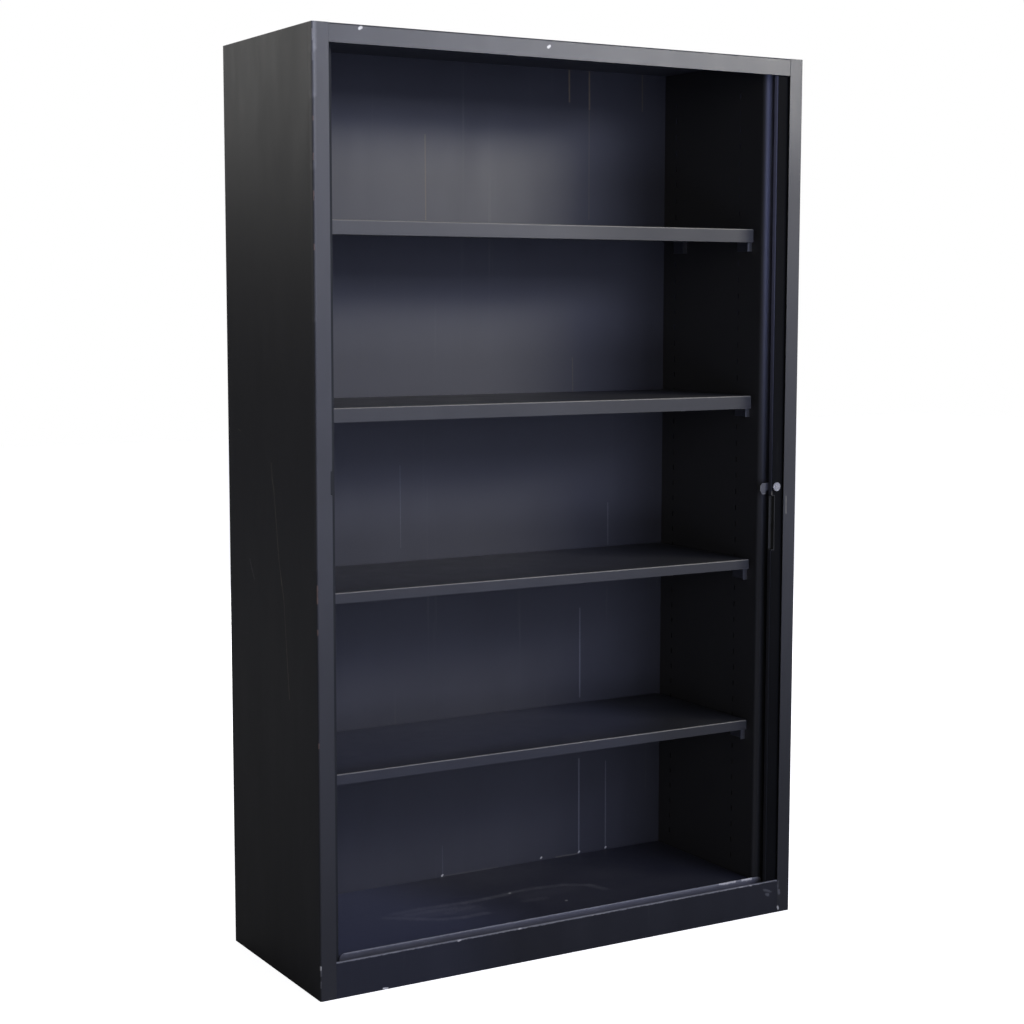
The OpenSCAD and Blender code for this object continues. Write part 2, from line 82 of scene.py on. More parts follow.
FOOT_SHADE: Colour = (0.007, 0.007, 0.008)
WASHED: Colour = (0.085, 0.082, 0.078)
DUSTY: Colour = (0.082, 0.082, 0.09)
BARE_EDGE: Colour = (0.15, 0.145, 0.14)

SOCKETS = {float: "Float", int: "Int", tuple: "Vector"}


class Slot(Enum):
    """Two material slot names: zinc steel and black plastic."""

    ZINC = "zinc_steel"
    PLASTIC = "black_plastic"


class Body(Enum):
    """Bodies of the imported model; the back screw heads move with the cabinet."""

    CABINET = "cabinet"
    DOOR = "door"


class Mark(Enum):
    """What a stroke leaves behind, among them wear and painted light and shade: its colour, its roughness
    and how far it covers.
    """

    CHIP = ((0.5, 0.49, 0.46), 0.5, 1.0)
    PRIMER = ((0.15, 0.1, 0.085), 0.6, 0.8)
    SCRATCH = ((0.16, 0.15, 0.13), 0.6, 0.7)
    STREAK = ((0.17, 0.13, 0.07), 0.7, 0.4)
    LIME = ((0.15, 0.155, 0.18), 0.7, 0.45)
    SCUFF = ((0.14, 0.14, 0.15), 0.7, 0.55)
    WISP = ((0.16, 0.16, 0.175), 0.6, 0.6)
    # Pale rubbed wear; laid as a long line on a rounded corner or a top edge, it is a painted highlight.
    RUBBED_AND_HIGHLIGHT = ((0.2, 0.2, 0.21), 0.5, 0.75)
    # Painted highlight: a light line along a rounded bend.
    HIGHLIGHT_LINE = ((0.125, 0.118, 0.102), 0.4, 0.85)
    SEAM = ((0.008, 0.008, 0.009), 0.8, 0.55)
    # Painted shade: darkens and dulls a band where less light falls.
    PAINTED_SHADE = ((0.012, 0.0122, 0.014), 0.75, 0.5)
    # Painted sheen: a pale bluish reflection laid as colour.
    PAINTED_SHEEN = ((0.1, 0.112, 0.19), 0.44, 0.5)

    def __init__(self, colour: Colour, rough: float, strength: float) -> None:
        """Keeps the mark's colour, its roughness and its strength."""
        self.colour, self.rough, self.strength = colour, rough, strength


@dataclass(frozen=True)
class Stroke:
    """One straight stroke of wear, painted highlight, painted sheen or painted shade, from start to end,
    width wide, with a ragged rim.
    """

    kind: Mark
    start: Point
    end: Point
    width: float
    ragged: float = 0.002
    fade: float = 1.0


Strokes = tuple[Stroke, ...]
Row = tuple[Union[Mark, Flat, float], ...]
Rows = tuple[Row, ...]


def on_plane(axis: int, level: float, rows: Iterable[Row]) -> Strokes:
    """Lays strokes on a plane.

    Args:
        axis: 0, 1 or 2 for a plane at one X, Y or Z.
        level: where the plane lies on that axis.
        rows: each stroke's mark, its flat start and end, its width and what else it sets.

    Returns:
        The strokes.
    """
    return tuple(
        Stroke(kind, (*start[:axis], level, *start[axis:]), (*end[:axis], level, *end[axis:]), *rest)
        for kind, start, end, *rest in rows
    )


class Nodes:
    """Short typed way to add and join the nodes of one tree."""

    MEASURES = ("DOT_PRODUCT", "DISTANCE")

    def __init__(self, tree: Tree) -> None:
        """Keeps the tree that nodes are added to."""
        self.tree = tree

    def add(self, kind: str, inputs: dict[Union[str, int], Value] | None = None, **settings: object) -> Node:
        """Adds a node.

        Args:
            kind: the node's type name.
            inputs: values or sockets for its inputs, by name or number.
            settings: its own properties.

        Returns:
            The node.
        """
        node = self.tree.nodes.new(kind)
        for name, value in settings.items():
            setattr(node, name, value)
        for key, value in (inputs or {}).items():
            self.feed(node.inputs[key], value)
        return node

    def feed(self, target: Socket, value: Value) -> None:
        """Links a socket to an input, or sets the input's own value.

        Args:
            target: the input.
            value: a socket, number or tuple.
        """
        if isinstance(value, bpy.types.NodeSocket):
            self.tree.links.new(value, target)
        elif isinstance(value, tuple) and target.type == "RGBA":
            target.default_value = (*value[:3], 1.0)
        else:
            target.default_value = value

    def shape(self, kind: str, settings: dict[str, object] | None = None, **inputs: Value) -> Socket:
        """Adds a geometry node, with spaces in input names as underscores, and returns its result."""
        named = {name.replace("_", " "): value for name, value in inputs.items()}
        return self.add("GeometryNode" + kind, named, **(settings or {})).outputs[0]

    def math(self, operation: str, a: Value, b: Value = 0.0, c: Value = 0.0, clamp: bool = False) -> Socket:
        """Adds a Math node, which can keep its result between 0 and 1, and returns its result."""
        node = self.add("ShaderNodeMath", {0: a, 1: b, 2: c}, operation=operation, use_clamp=clamp)
        return node.outputs[0]

    def times(self, a: Value, b: Value, plus: Value = 0.0) -> Socket:
        """Returns a times b, plus a third value where one is given."""
        return self.math("MULTIPLY_ADD", a, b, plus)

    def between(self, share: Socket, a: Value, b: Value) -> Socket:
        """Returns the number that lies the given share of the way from a to b."""
        return self.times(share, b, self.times(a, self.math("SUBTRACT", 1.0, share)))

    def vector(self, operation: str, a: Value, b: Value = (0.0, 0.0, 0.0), scale: Value = 1.0) -> Socket:
        """Adds a Vector Math node.

        Args:
            operation: the node's operation.
            a: first vector.
            b: second vector.
            scale: its scale, where the operation has one.

        Returns:
            Its result, which is a number where the operation measures.
        """
        second = {"Scale": scale} if operation == "SCALE" else {1: b}
        node = self.add("ShaderNodeVectorMath", {0: a, **second}, operation=operation)
        return node.outputs["Value" if operation in self.MEASURES else "Vector"]

    def ramp(self, value: Value, low: Value, high: Value, out: tuple[Value, Value] = (0.0, 1.0)) -> Socket:
        """Maps a value smoothly, so that low and high become the two values in out."""
        inputs = dict(zip(("Value", "From Min", "From Max", "To Min", "To Max"), (value, low, high, *out)))
        return self.add("ShaderNodeMapRange", inputs, interpolation_type="SMOOTHSTEP").outputs[0]

    def mix(self, factor: Value, a: Value, b: Value) -> Socket:
        """Returns colour a with the factor's share of colour b mixed in."""
        return self.add("ShaderNodeMix", {"Factor": factor, 6: a, 7: b}, data_type="RGBA").outputs[2]

    def noise(self, at: Value, scale: Value, detail: float = 3.0, rough: float = 0.5) -> Socket:
        """Returns the value, 0 to 1, of a noise read at a place."""
        inputs = {"Vector": at, "Scale": scale, "Detail": detail, "Roughness": rough}
        return self.add("ShaderNodeTexNoise", inputs).outputs[0]

    def place(self) -> Socket:
        """Adds Object coordinates and returns them."""
        return self.add("ShaderNodeTexCoord").outputs["Object"]

    def axes(self, vector: Socket) -> Sockets:
        """Returns the X, Y and Z of a vector."""
        return self.add("ShaderNodeSeparateXYZ", {0: vector}).outputs

    def join(self, **parts: Value) -> Socket:
        """Returns the vector of the given X, Y and Z, which are 0 where they aren't given."""
        return self.add("ShaderNodeCombineXYZ", parts).outputs[0]

    def turned(self, axis: int, low: float, high: float) -> Socket:
        """Returns a mask that rises as the normal's part along an axis goes from low to high."""
        normal = self.add("ShaderNodeNewGeometry").outputs["Normal"]
        return self.ramp(self.axes(normal)[axis], low, high)

    def height(self, low: float, high: float, out: tuple[Value, Value] = (0.0, 1.0)) -> Socket:
        """Maps the height above the floor smoothly, from low and high to the values in out."""
        return self.ramp(self.axes(self.place())[2], low, high, out)

    def group(self, tree: Tree, **inputs: Value) -> Sockets:
        """Places a shared group with the given inputs and returns its outputs."""
        return self.add("ShaderNodeGroup", inputs, node_tree=tree).outputs

    def cover(self, shader: Node, colour: Socket, rough: Socket, skin: Flat, height: Socket) -> None:
        """Feeds a Principled shader.

        Args:
            shader: the shader.
            colour: its base colour.
            rough: its roughness.
            skin: strength and distance of its bump.
            height: the height that the bump follows.
        """
        bump = self.add("ShaderNodeBump", {"Strength": skin[0], "Distance": skin[1], "Height": height})
        for name, value in (("Base Color", colour), ("Roughness", rough), ("Normal", bump.outputs[0])):
            self.feed(shader.inputs[name], value)


def new_group(
    name: str, outputs: tuple[str, ...], kind: str = "Shader", **inputs: Union[Value, str]
) -> tuple[Tree, Nodes, Sockets, Sockets]:
    """Starts a node group.

    Args:
        name: its name.
        outputs: names of its outputs, which are numbers in a shader group.
        kind: Shader or Geometry.
        inputs: the default of each input, or the kind of its socket where it has none.

    Returns:
        The tree, its node maker, the sockets that give its inputs, and those that take its
        outputs.
    """
    tree = bpy.data.node_groups.new(name, kind + "NodeTree")
    for label, value in inputs.items():
        socket = "NodeSocket" + SOCKETS.get(type(value), value)
        made = tree.interface.new_socket(label, in_out="INPUT", socket_type=socket)
        if type(value) in SOCKETS:
            made.default_value = value
    for label in outputs:
        socket = "NodeSocket" + ("Float" if kind == "Shader" else kind)
        tree.interface.new_socket(label, in_out="OUTPUT", socket_type=socket)
    n = Nodes(tree)
    return tree, n, n.add("NodeGroupInput").outputs, n.add("NodeGroupOutput").inputs


class Effects:
    """Shader groups that more than one material uses, each built once."""

    RIM_SCALE = 160.0
    RIM_LEVEL = 0.42
    CORE = 0.35
    EDGE_CORE = 0.3
    DRIFT_SCALE = 6.0
    SPECK_SCALE = 420.0
    SPOT_SCALE = 900.0
    WAVE_SCALE = 3.5

    def __init__(self) -> None:
        """Builds every group."""
        self.stroke = self._stroke()
        self.edge = self._edge()
        self.blotch = self._blotch()
        self.dust = self._dust()
        self.runs = self._runs()
        self.peel = self._peel()
        self.brushed = self._brushed()

    def laid_stroke(self, n: Nodes, stroke: Stroke) -> Socket:
        """Places one stroke, of wear or of painted light and shade, in a material.

        Args:
            n: the material's node maker.
            stroke: the stroke.

        Returns:
            How far it covers, 0 to 1.
        """
        ends = {"Start": stroke.start, "End": stroke.end}
        mask = n.group(self.stroke, Width=stroke.width, Ragged=stroke.ragged, **ends)["Mask"]
        return n.times(mask, stroke.kind.strength * stroke.fade)

    def edges(self, n: Nodes, box: Box, **inputs: Value) -> Sockets:
        """Places the wear along a boxed shape's edges and returns the group's outputs."""
        low, high = box
        return n.group(self.edge, Centre=tuple((low + high) / 2), Half=tuple((high - low) / 2), **inputs)

    def _stroke(self) -> Tree:
        """Builds the mask of one straight stroke, of wear or of painted light and shade, and returns its
        tree.
        """
        tree, n, get, out = new_group(
            "wear_and_light_stroke", ("Mask",), Start=(0, 0, 0), End=(0, 0, 1), Width=0.001, Ragged=0.002
        )
        at = n.place()
        along = n.vector("SUBTRACT", get["End"], get["Start"])
        off = n.vector("SUBTRACT", at, get["Start"])
        reach, length = (n.vector("DOT_PRODUCT", vector, along) for vector in (off, along))
        share = n.math("DIVIDE", reach, length, clamp=True)
        gap = n.vector("DISTANCE", off, n.vector("SCALE", along, scale=share))
        shift = n.times(get["Ragged"], -self.RIM_LEVEL)
        jitter = n.times(n.noise(at, self.RIM_SCALE), get["Ragged"], shift)
        core = n.times(get["Width"], self.CORE)
        n.feed(out["Mask"], n.ramp(n.math("ADD", gap, jitter), core, get["Width"], (1.0, 0.0)))
        return tree

    def _edge(self) -> Tree:
        """Builds the mask of wear along the outer edges of a boxed shape and returns its tree."""
        tree, n, get, out = new_group(
            "edge_wear", ("Mask", "Line"), Centre=(0, 0, 0), Half=(1, 1, 1), Width=0.002, Amount=0.4,
            Scale=30.0,
        )
        at = n.place()
        off = n.vector("ABSOLUTE", n.vector("SUBTRACT", at, get["Centre"]))
        room = n.axes(n.vector("SUBTRACT", get["Half"], off))
        low = n.math("MINIMUM", room[0], room[1])
        high = n.math("MAXIMUM", room[0], room[1])
        second = n.math("MAXIMUM", low, n.math("MINIMUM", high, room[2]))
        uneven = n.times(get["Width"], n.ramp(n.noise(at, self.DRIFT_SCALE), 0.3, 0.75, (0.5, 1.5)))
        line = n.ramp(second, n.times(uneven, self.EDGE_CORE), uneven, (1.0, 0.0))
        bare = n.math("SUBTRACT", 1.0, get["Amount"])
        start, full = (n.times(bare, 0.5, level) for level in (0.22, 0.3))
        broken = n.ramp(n.noise(at, get["Scale"], 5.0, 0.65), start, full)
        n.feed(out["Mask"], n.times(line, broken))
        n.feed(out["Line"], line)
        return tree

    def _blotch(self) -> Tree:
        """Builds the slow unevenness of an old coat and returns its tree."""
        tree, n, get, out = new_group("old_coat", ("Value", "Fine"), Scale=3.0, Depth=0.2)
        at = n.place()
        slow = n.noise(at, get["Scale"], 5.0, 0.62)
        upright = n.vector("MULTIPLY", at, (1.0, 1.0, 0.22))
        wipe = n.noise(upright, n.times(get["Scale"], 6.0), 4.0, 0.6)
        both = n.math("ADD", n.times(slow, 1.3, -0.65), n.times(wipe, 0.7, -0.35))
        n.feed(out["Value"], n.times(both, get["Depth"], 1.0))
        n.feed(out["Fine"], wipe)
        return tree

    def _dust(self) -> Tree:
        """Builds the mask of dust lying on faces that look up and returns its tree."""
        tree, n, get, out = new_group("lying_dust", ("Mask",), Amount=0.3, Scale=7.0)
        at = n.place()
        cloud = n.ramp(n.noise(at, get["Scale"], 6.0, 0.68), 0.32, 0.72)
        speck = n.ramp(n.noise(at, self.SPECK_SCALE, 2.0), 0.62, 0.74, (0.0, 0.6))
        lying = n.times(n.turned(2, 0.5, 0.95), n.math("ADD", cloud, speck))
        n.feed(out["Mask"], n.times(lying, get["Amount"]))
        return tree

    def _runs(self) -> Tree:
        """Builds the mask of faint upright streaks on a wall and returns its tree."""
        tree, n, get, out = new_group("upright_runs", ("Mask",), Amount=0.3, Scale=40.0)
        at = n.place()
        thin = n.noise(n.vector("MULTIPLY", at, (1.0, 1.0, 0.02)), get["Scale"], 4.0, 0.7)
        parts = n.noise(n.vector("MULTIPLY", at, (1.0, 1.0, 0.6)), 5.0)
        mask = n.times(n.ramp(thin, 0.6, 0.72), n.ramp(parts, 0.4, 0.65))
        n.feed(out["Mask"], n.times(mask, get["Amount"]))
        return tree

    def _peel(self) -> Tree:
        """Builds the height of a sprayed skin and returns its tree."""
        tree, n, get, out = new_group("sprayed_skin", ("Height",), Scale=700.0, Grit=0.4)
        at = n.place()
        soft = n.noise(at, get["Scale"], 2.0)
        skin = n.times(n.noise(at, n.times(get["Scale"], 3.1), 2.0), get["Grit"], soft)
        n.feed(out["Height"], n.times(n.noise(at, self.WAVE_SCALE, 1.0), 4.0, skin))
        return tree

    def _brushed(self) -> Tree:
        """Builds fine lines along X on metal and returns its tree."""
        tree, n, get, out = new_group("fine_lines", ("Value", "Spots"), Scale=300.0)
        at = n.place()
        drawn = n.vector("MULTIPLY", at, (0.06, 1.0, 1.0))
        n.feed(out["Value"], n.noise(drawn, get["Scale"], 4.0, 0.7))
        n.feed(out["Spots"], n.ramp(n.noise(at, self.SPOT_SCALE, 4.0, 0.6), 0.55, 0.7))
        return tree


@dataclass(frozen=True)
class Paint:
    """Satin anthracite coat on sheet steel, as old as the photograph shows it."""

    colour: Colour = (0.0275, 0.0282, 0.0335)
    rough: float = 0.44
    specular: float = 0.45
    depth: float = 0.3
    dust: float = 0.25
    runs: float = 0.0
    edge: float = 0.35
    edge_width: float = 0.0022
    # The foot settings paint shade: the panel darkens towards the bottom, up to the given height.
    foot: float = 0.0
    foot_shade_top: float = 0.5
    top_rough: float = 0.0
    # Painted sheen on faces that look forward: a low and a high colour, brightened over a band of X to fill
    # the shade beside the stile.
    front_sheen: tuple[Colour, Colour] | None = None
    front_sheen_lift: tuple[float, float, Flat] = (0.533, 0.5415, (0.7, 1.7))
    strokes: Strokes = ()
    patch_scale: float = 2.6
    skin: Flat = (0.12, 0.0006)

    def make(self, name: str, effects: Effects, box: Box) -> Material:
        """Builds the material for one node.

        Args:
            name: the material's name.
            effects: the shared groups.
            box: the node's lowest and highest corners.

        Returns:
            The material.
        """
        mat, n, shader = start_material(name, self.specular)
        coat = n.group(effects.blotch, Scale=self.patch_scale, Depth=self.depth)
        colour = n.vector("SCALE", self.colour, scale=coat["Value"])
        rough = n.times(coat["Fine"], 0.16, self.rough - 0.08)
        # Painted sheen: forward faces paler, fading towards the bottom, and lifted where the flange lies in
        # shade.
        if self.front_sheen:
            lift = n.ramp(n.axes(n.place())[0], *self.front_sheen_lift)
            lit = n.vector("SCALE", n.mix(n.height(*SHEEN_HEIGHTS), *self.front_sheen), scale=lift)
            colour = n.mix(n.turned(1, -0.45, -0.9), colour, lit)
        layers = []
        # Painted shade: darker towards the bottom.
        if self.foot:
            layers.append((n.height(0.05, self.foot_shade_top, (self.foot, 0.0)), FOOT_SHADE, 0.3))
        if self.runs:
            layers.append((n.group(effects.runs, Amount=self.runs)["Mask"], WASHED, 0.2))
        layers.append((n.group(effects.dust, Amount=self.dust)["Mask"], DUSTY, 0.35))
        if self.edge:
            wear = effects.edges(n, box, Width=self.edge_width, Amount=self.edge)["Mask"]
            layers.append((wear, BARE_EDGE, 0.1))
        for mask, tint, duller in layers:
            colour = n.mix(mask, colour, tint)
            rough = n.times(mask, duller, rough)
        if self.top_rough:
            rough = n.times(n.turned(2, 0.5, 0.95), self.top_rough, rough)
        for stroke in self.strokes:
            mask = effects.laid_stroke(n, stroke)
            colour = n.mix(mask, colour, stroke.kind.colour)
            rough = n.between(mask, rough, stroke.kind.rough)
        n.cover(shader, colour, rough, self.skin, n.group(effects.peel)["Height"])
        return mat


@dataclass(frozen=True)
class Plastic:
    """Matt extruded plastic with fine draw lines, a few pale rubs and, where given, a painted sheen on faces
    that look to -X.
    """

    colour: Colour = (0.0042, 0.0043, 0.0047)
    rough: float = 0.75
    rubs: float = 0.25
    specular: float = 0.03
    # Painted sheen on faces that look to -X: a low and a high colour.
    leading: tuple[Colour, Colour] | None = None
    strokes: Strokes = ()
    line_colour: Colour = (0.05, 0.05, 0.05)
    edge_colour: Colour = (0.03, 0.03, 0.03)
    skin: Flat = (0.1, 0.0004)

    def make(self, name: str, effects: Effects, box: Box) -> Material:
        """Builds the material for one node.

        Args:
            name: the material's name.
            effects: the shared groups.
            box: the node's lowest and highest corners.

        Returns:
            The material.
        """
        mat, n, shader = start_material(name, self.specular)
        coat = n.group(effects.blotch, Scale=5.0, Depth=0.35)
        lines = n.group(effects.runs, Amount=self.rubs, Scale=90.0)["Mask"]
        colour = n.mix(lines, n.vector("SCALE", self.colour, scale=coat["Value"]), self.line_colour)
        wear = effects.edges(n, box, Width=0.0016, Amount=0.1, Scale=45.0)["Mask"]
        colour = n.mix(wear, colour, self.edge_colour)
        # Painted sheen on the side that looks to -X, paler higher up.
        if self.leading:
            side_sheen_tint = n.mix(n.height(*SHEEN_HEIGHTS), *self.leading)
            colour = n.mix(n.turned(0, -0.6, -0.95), colour, side_sheen_tint)
        for stroke in self.strokes:
            colour = n.mix(effects.laid_stroke(n, stroke), colour, stroke.kind.colour)
        rough = n.times(coat["Fine"], 0.2, self.rough - 0.1)
        n.cover(shader, colour, rough, self.skin, n.group(effects.peel, Scale=900.0)["Height"])
        return mat


@dataclass(frozen=True)
class Metal:
    """Plated metal with fine lines, dull spots and a little grime."""

    colour: Colour = (0.45, 0.45, 0.46)
    rough: float = 0.35
    grime: float = 0.5
    spot_colour: Colour = (0.2, 0.19, 0.17)
    edge_colour: Colour = (0.75, 0.75, 0.75)
    skin: Flat = (0.1, 0.0002)

    def make(self, name: str, effects: Effects, box: Box) -> Material:
        """Builds the material for one node.

        Args:
            name: the material's name.
            effects: the shared groups.
            box: the node's lowest and highest corners.

        Returns:
            The material.
        """
        mat, n, shader = start_material(name)
        shader.inputs["Metallic"].default_value = 1.0
        lines = n.group(effects.brushed)
        colour = n.vector("SCALE", self.colour, scale=n.times(lines["Value"], 0.3, 0.85))
        colour = n.mix(n.times(lines["Spots"], self.grime), colour, self.spot_colour)
        wear = effects.edges(n, box, Width=0.0012, Amount=0.6, Scale=60.0)["Line"]
        colour = n.mix(n.times(wear, 0.5), colour, self.edge_colour)
        n.cover(shader, colour, n.times(lines["Spots"], 0.25, self.rough), self.skin, lines["Value"])
        return mat


@dataclass(frozen=True)
class Cloth:
    """Woven canvas: two crossed sets of threads with stained patches."""

    colour: Colour = (0.11, 0.095, 0.08)
    thread: float = 0.0009
    skin: Flat = (0.4, 0.0003)

    def make(self, name: str, effects: Effects, box: Box) -> Material:
        """Builds the material for one node.

        Args:
            name: the material's name.
            effects: the shared groups.
            box: the node's lowest and highest corners, which cloth doesn't need.

        Returns:
            The material.
        """
        mat, n, shader = start_material(name)
        axes = n.axes(n.place())
        turn = 2 * math.pi / self.thread
        across = n.math("SINE", n.times(n.math("ADD", axes[0], axes[1]), turn))
        upright = n.math("SINE", n.times(axes[2], turn))
        weave = n.times(n.times(across, upright), 0.25, 0.85)
        stain = n.group(effects.blotch, Scale=4.0, Depth=0.5)["Value"]
        colour = n.vector("SCALE", self.colour, scale=n.times(weave, stain))
        n.cover(shader, colour, n.times(weave, 0.1, 0.8), self.skin, weave)
        return mat


Finish = Union[Paint, Plastic, Metal, Cloth]


def start_material(name: str, specular: float = 0.5) -> tuple[Material, Nodes, Node]:
    """Starts a material.

    Args:
        name: its name.
        specular: the strength of its gloss.

    Returns:
        The material, its node maker and its Principled shader.
    """
    mat = bpy.data.materials.new(name)
    mat.use_nodes = True
    shader = mat.node_tree.nodes["Principled BSDF"]
    shader.inputs["Specular IOR Level"].default_value = specular
    return mat, Nodes(mat.node_tree), shader


def put(name: str, data: bpy.types.ID) -> bpy.types.Object:
    """Puts an object into the scene.

    Args:
        name: its name.
        data: its mesh, lamp or camera.

    Returns:
        The object, at the origin.
    """
    obj = bpy.data.objects.new(name, data)
    bpy.context.scene.collection.objects.link(obj)
    return obj


def dress(effects: Effects, finishes: dict[str, Finish]) -> None:
    """Gives CAD nodes their finishes.

    Args:
        effects: the shared groups.
        finishes: each node's name and what it is finished with.
    """
    for node, finish in finishes.items():
        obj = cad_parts[node]
        mat = finish.make(node + "_finish", effects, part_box(node))
        if not obj.data.materials:
            obj.data.materials.append(mat)
        for i in range(len(obj.data.materials)):
            obj.data.materials[i] = mat
        log.info("%s: %s", node, type(finish).__name__)


@dataclass
class Casing:
    """Outer panels, plinth and back, the wear on each, and the painted highlights, sheen and shade laid on
    some.

    Flat places are (y, z) on the side panels, and (x, z) on the front and the back.
    """

    effects: Effects
    front: float = FRONT
    side_x: float = -HALF_W
    edge_inset: float = 0.001
    # Chips down the left front corner; the first two, at the top, paint the corner's bright highlight.
    corner_chips_and_highlight: tuple[tuple[Mark, float, float], ...] = (
        (Mark.CHIP, 1.944, 0.02), (Mark.RUBBED_AND_HIGHLIGHT, 1.905, 0.015), (Mark.PRIMER, 1.79, 0.006),
        (Mark.PRIMER, 1.7126, 0.012), (Mark.PRIMER, 1.635, 0.016), (Mark.PRIMER, 1.537, 0.01),
        (Mark.PRIMER, 0.83, 0.035), (Mark.PRIMER, 0.765, 0.01), (Mark.PRIMER, 0.533, 0.008),
        (Mark.CHIP, 0.068, 0.006), (Mark.SCUFF, 0.055, 0.01), (Mark.SCUFF, 0.03, 0.012),
    )
    # Painted highlight down the rounded left front corner, brightest at the top and fading lower down.
    fold_highlight: tuple[tuple[float, float, float, float], ...] = (
        (0.0075, 1.99, 0.015, 0.95), (0.007, 1.93, 0.0135, 0.6), (0.0065, 1.84, 0.012, 0.35),
        (0.006, 1.7, 0.01, 0.2), (0.005, 1.4, 0.009, 0.1), (0.005, 0.9, 0.008, 0.0),
    )
    side_scratch: tuple[Flat, ...] = (
        (-0.0075, 1.098), (-0.0108, 1.064), (-0.019, 1.044), (-0.0285, 0.981), (-0.041, 0.8985),
        (-0.047, 0.875), (-0.064, 0.817), (-0.0756, 0.713), (-0.0874, 0.609),
    )
    scratch_widths: Flat = (0.0014, 0.0021)
    side_rubs: Rows = (
        (Mark.SCRATCH, (0.1685, 1.1589), (0.155, 1.156), 0.0018),
        (Mark.SCRATCH, (-0.051, 0.86), (-0.0555, 0.845), 0.003),
        (Mark.SCUFF, (0.1137, 0.8807), (0.09, 0.84), 0.004, 0.006),
    )
    far_rubs: Rows = (
        (Mark.SCRATCH, (0.12, 1.31), (0.085, 1.02), 0.0016),
        (Mark.SCRATCH, (-0.09, 0.74), (-0.101, 0.6), 0.0018),
        (Mark.SCUFF, (-0.15, 0.33), (-0.06, 0.345), 0.004),
        (Mark.SCUFF, (0.16, 0.52), (0.172, 0.44), 0.003),
        (Mark.PRIMER, (0.02, 0.965), (0.024, 0.95), 0.003),
        (Mark.SCRATCH, (0.17, 1.72), (0.13, 1.7), 0.0014),
    )
    far_wear: Flat = (0.005, 0.55)
    rear_rubs: Rows = (
        (Mark.SCRATCH, (-0.21, 1.43), (-0.08, 1.37), 0.0016),
        (Mark.SCUFF, (0.31, 0.41), (0.42, 0.43), 0.004),
        (Mark.SCUFF, (-0.44, 0.35), (-0.39, 0.27), 0.004),
        (Mark.SCRATCH, (0.12, 0.83), (0.15, 0.69), 0.0018),
        (Mark.PRIMER, (0.43, 1.62), (0.434, 1.61), 0.0035),
        (Mark.SCRATCH, (0.33, 1.21), (0.37, 1.225), 0.0014),
    )
    rear_wear: Flat = (0.005, 0.6)
    jamb_wear_and_shade: Rows = (
        (Mark.SCRATCH, (0.5815, 0.988), (0.582, 0.949), 0.0022),
        (Mark.CHIP, (0.578, 0.008), (0.5765, 0.013), 0.005, 0.005, 0.55),
        (Mark.RUBBED_AND_HIGHLIGHT, (0.580, 0.044), (0.579, 0.052), 0.005, 0.005, 0.35),
        (Mark.RUBBED_AND_HIGHLIGHT, (0.5755, 0.055), (0.577, 0.075), 0.003, 0.005, 0.25),
        # Painted shade band over the jamb's middle height.
        (Mark.PAINTED_SHADE, (0.592, 1.55), (0.592, 1.2), 0.3, 0.01, 0.85),
    )
    rail_chips: Rows = (
        (Mark.CHIP, (-0.5065, 1.9716), (-0.5025, 1.9746), 0.0042, 0.004),
        (Mark.CHIP, (-0.068, 1.9642), (-0.064, 1.9672), 0.0042, 0.004),
    )
    seam: Row = (Mark.SEAM, (0.574, 1.9405), (0.574, 1.979), 0.0016, 0.0004)
    plinth_wear_and_light: tuple[tuple[float, Rows], ...] = (
        (0.0, (
            (Mark.RUBBED_AND_HIGHLIGHT, (0.5471, 0.046), (0.5425, 0.048), 0.006, 0.006, 0.3),
            (Mark.RUBBED_AND_HIGHLIGHT, (0.535, 0.06), (0.556, 0.052), 0.004, 0.006, 0.25),
            (Mark.CHIP, (0.4965, 0.0765), (0.4925, 0.0775), 0.0035, 0.003, 0.7),
            (Mark.CHIP, (-0.4654, 0.003), (-0.456, 0.002), 0.003),
        )),
        (0.001, (
            (Mark.CHIP, (0.473, 0.0775), (0.465, 0.078), 0.003, 0.003, 0.6),
            (Mark.CHIP, (-0.1345, 0.0772), (-0.1305, 0.0777), 0.0036),
        )),
        # Painted highlight along the plinth's upper edge.
        (0.002, ((Mark.RUBBED_AND_HIGHLIGHT, (-0.573, 0.0775), (0.573, 0.0775), 0.0042, 0.004),)),
        # Painted sheen at the plinth's left end.
        (0.0, ((Mark.PAINTED_SHEEN, (-0.57, 0.04), (-0.42, 0.04), 0.3, 0.02, 0.13),)),
    )

    def left_strokes(self) -> Strokes:
        """Returns the strokes seen on the left side panel and its jamb."""
        edge = self.front + self.edge_inset
        chips = ((kind, (edge, z), (edge, z + tall), 0.0028, 0.003) for kind, z, tall in self.corner_chips_and_highlight)
        # Painted highlight along the fold.
        fold = (
            (Mark.RUBBED_AND_HIGHLIGHT, (self.front + a, top), (self.front + b, foot), width, 0.002, fade)
            for (a, top, width, fade), (b, foot, _, _) in zip(self.fold_highlight, self.fold_highlight[1:])
        )
        scratch = (
            (Mark.SCRATCH, start, end, self.scratch_widths[i % 2], 0.0018)
            for i, (start, end) in enumerate(zip(self.side_scratch, self.side_scratch[1:]))
        )
        face = on_plane(0, self.side_x, (*fold, *scratch, *self.side_rubs))
        return on_plane(0, self.side_x + self.edge_inset, chips) + face

    def right_strokes(self) -> Strokes:
        """Returns those seen on the right jamb, with a band of painted shade over its middle height, and
        light wear on the hidden side panel.
        """
        far = ((*row, *self.far_wear) for row in self.far_rubs)
        return on_plane(1, self.front, (*self.jamb_wear_and_shade, self.seam)) + on_plane(0, -self.side_x, far)

    def rear_strokes(self) -> Strokes:
        """Returns light wear on the outer back."""
        return on_plane(1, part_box("outer_back")[1].y, ((*row, *self.rear_wear) for row in self.rear_rubs))

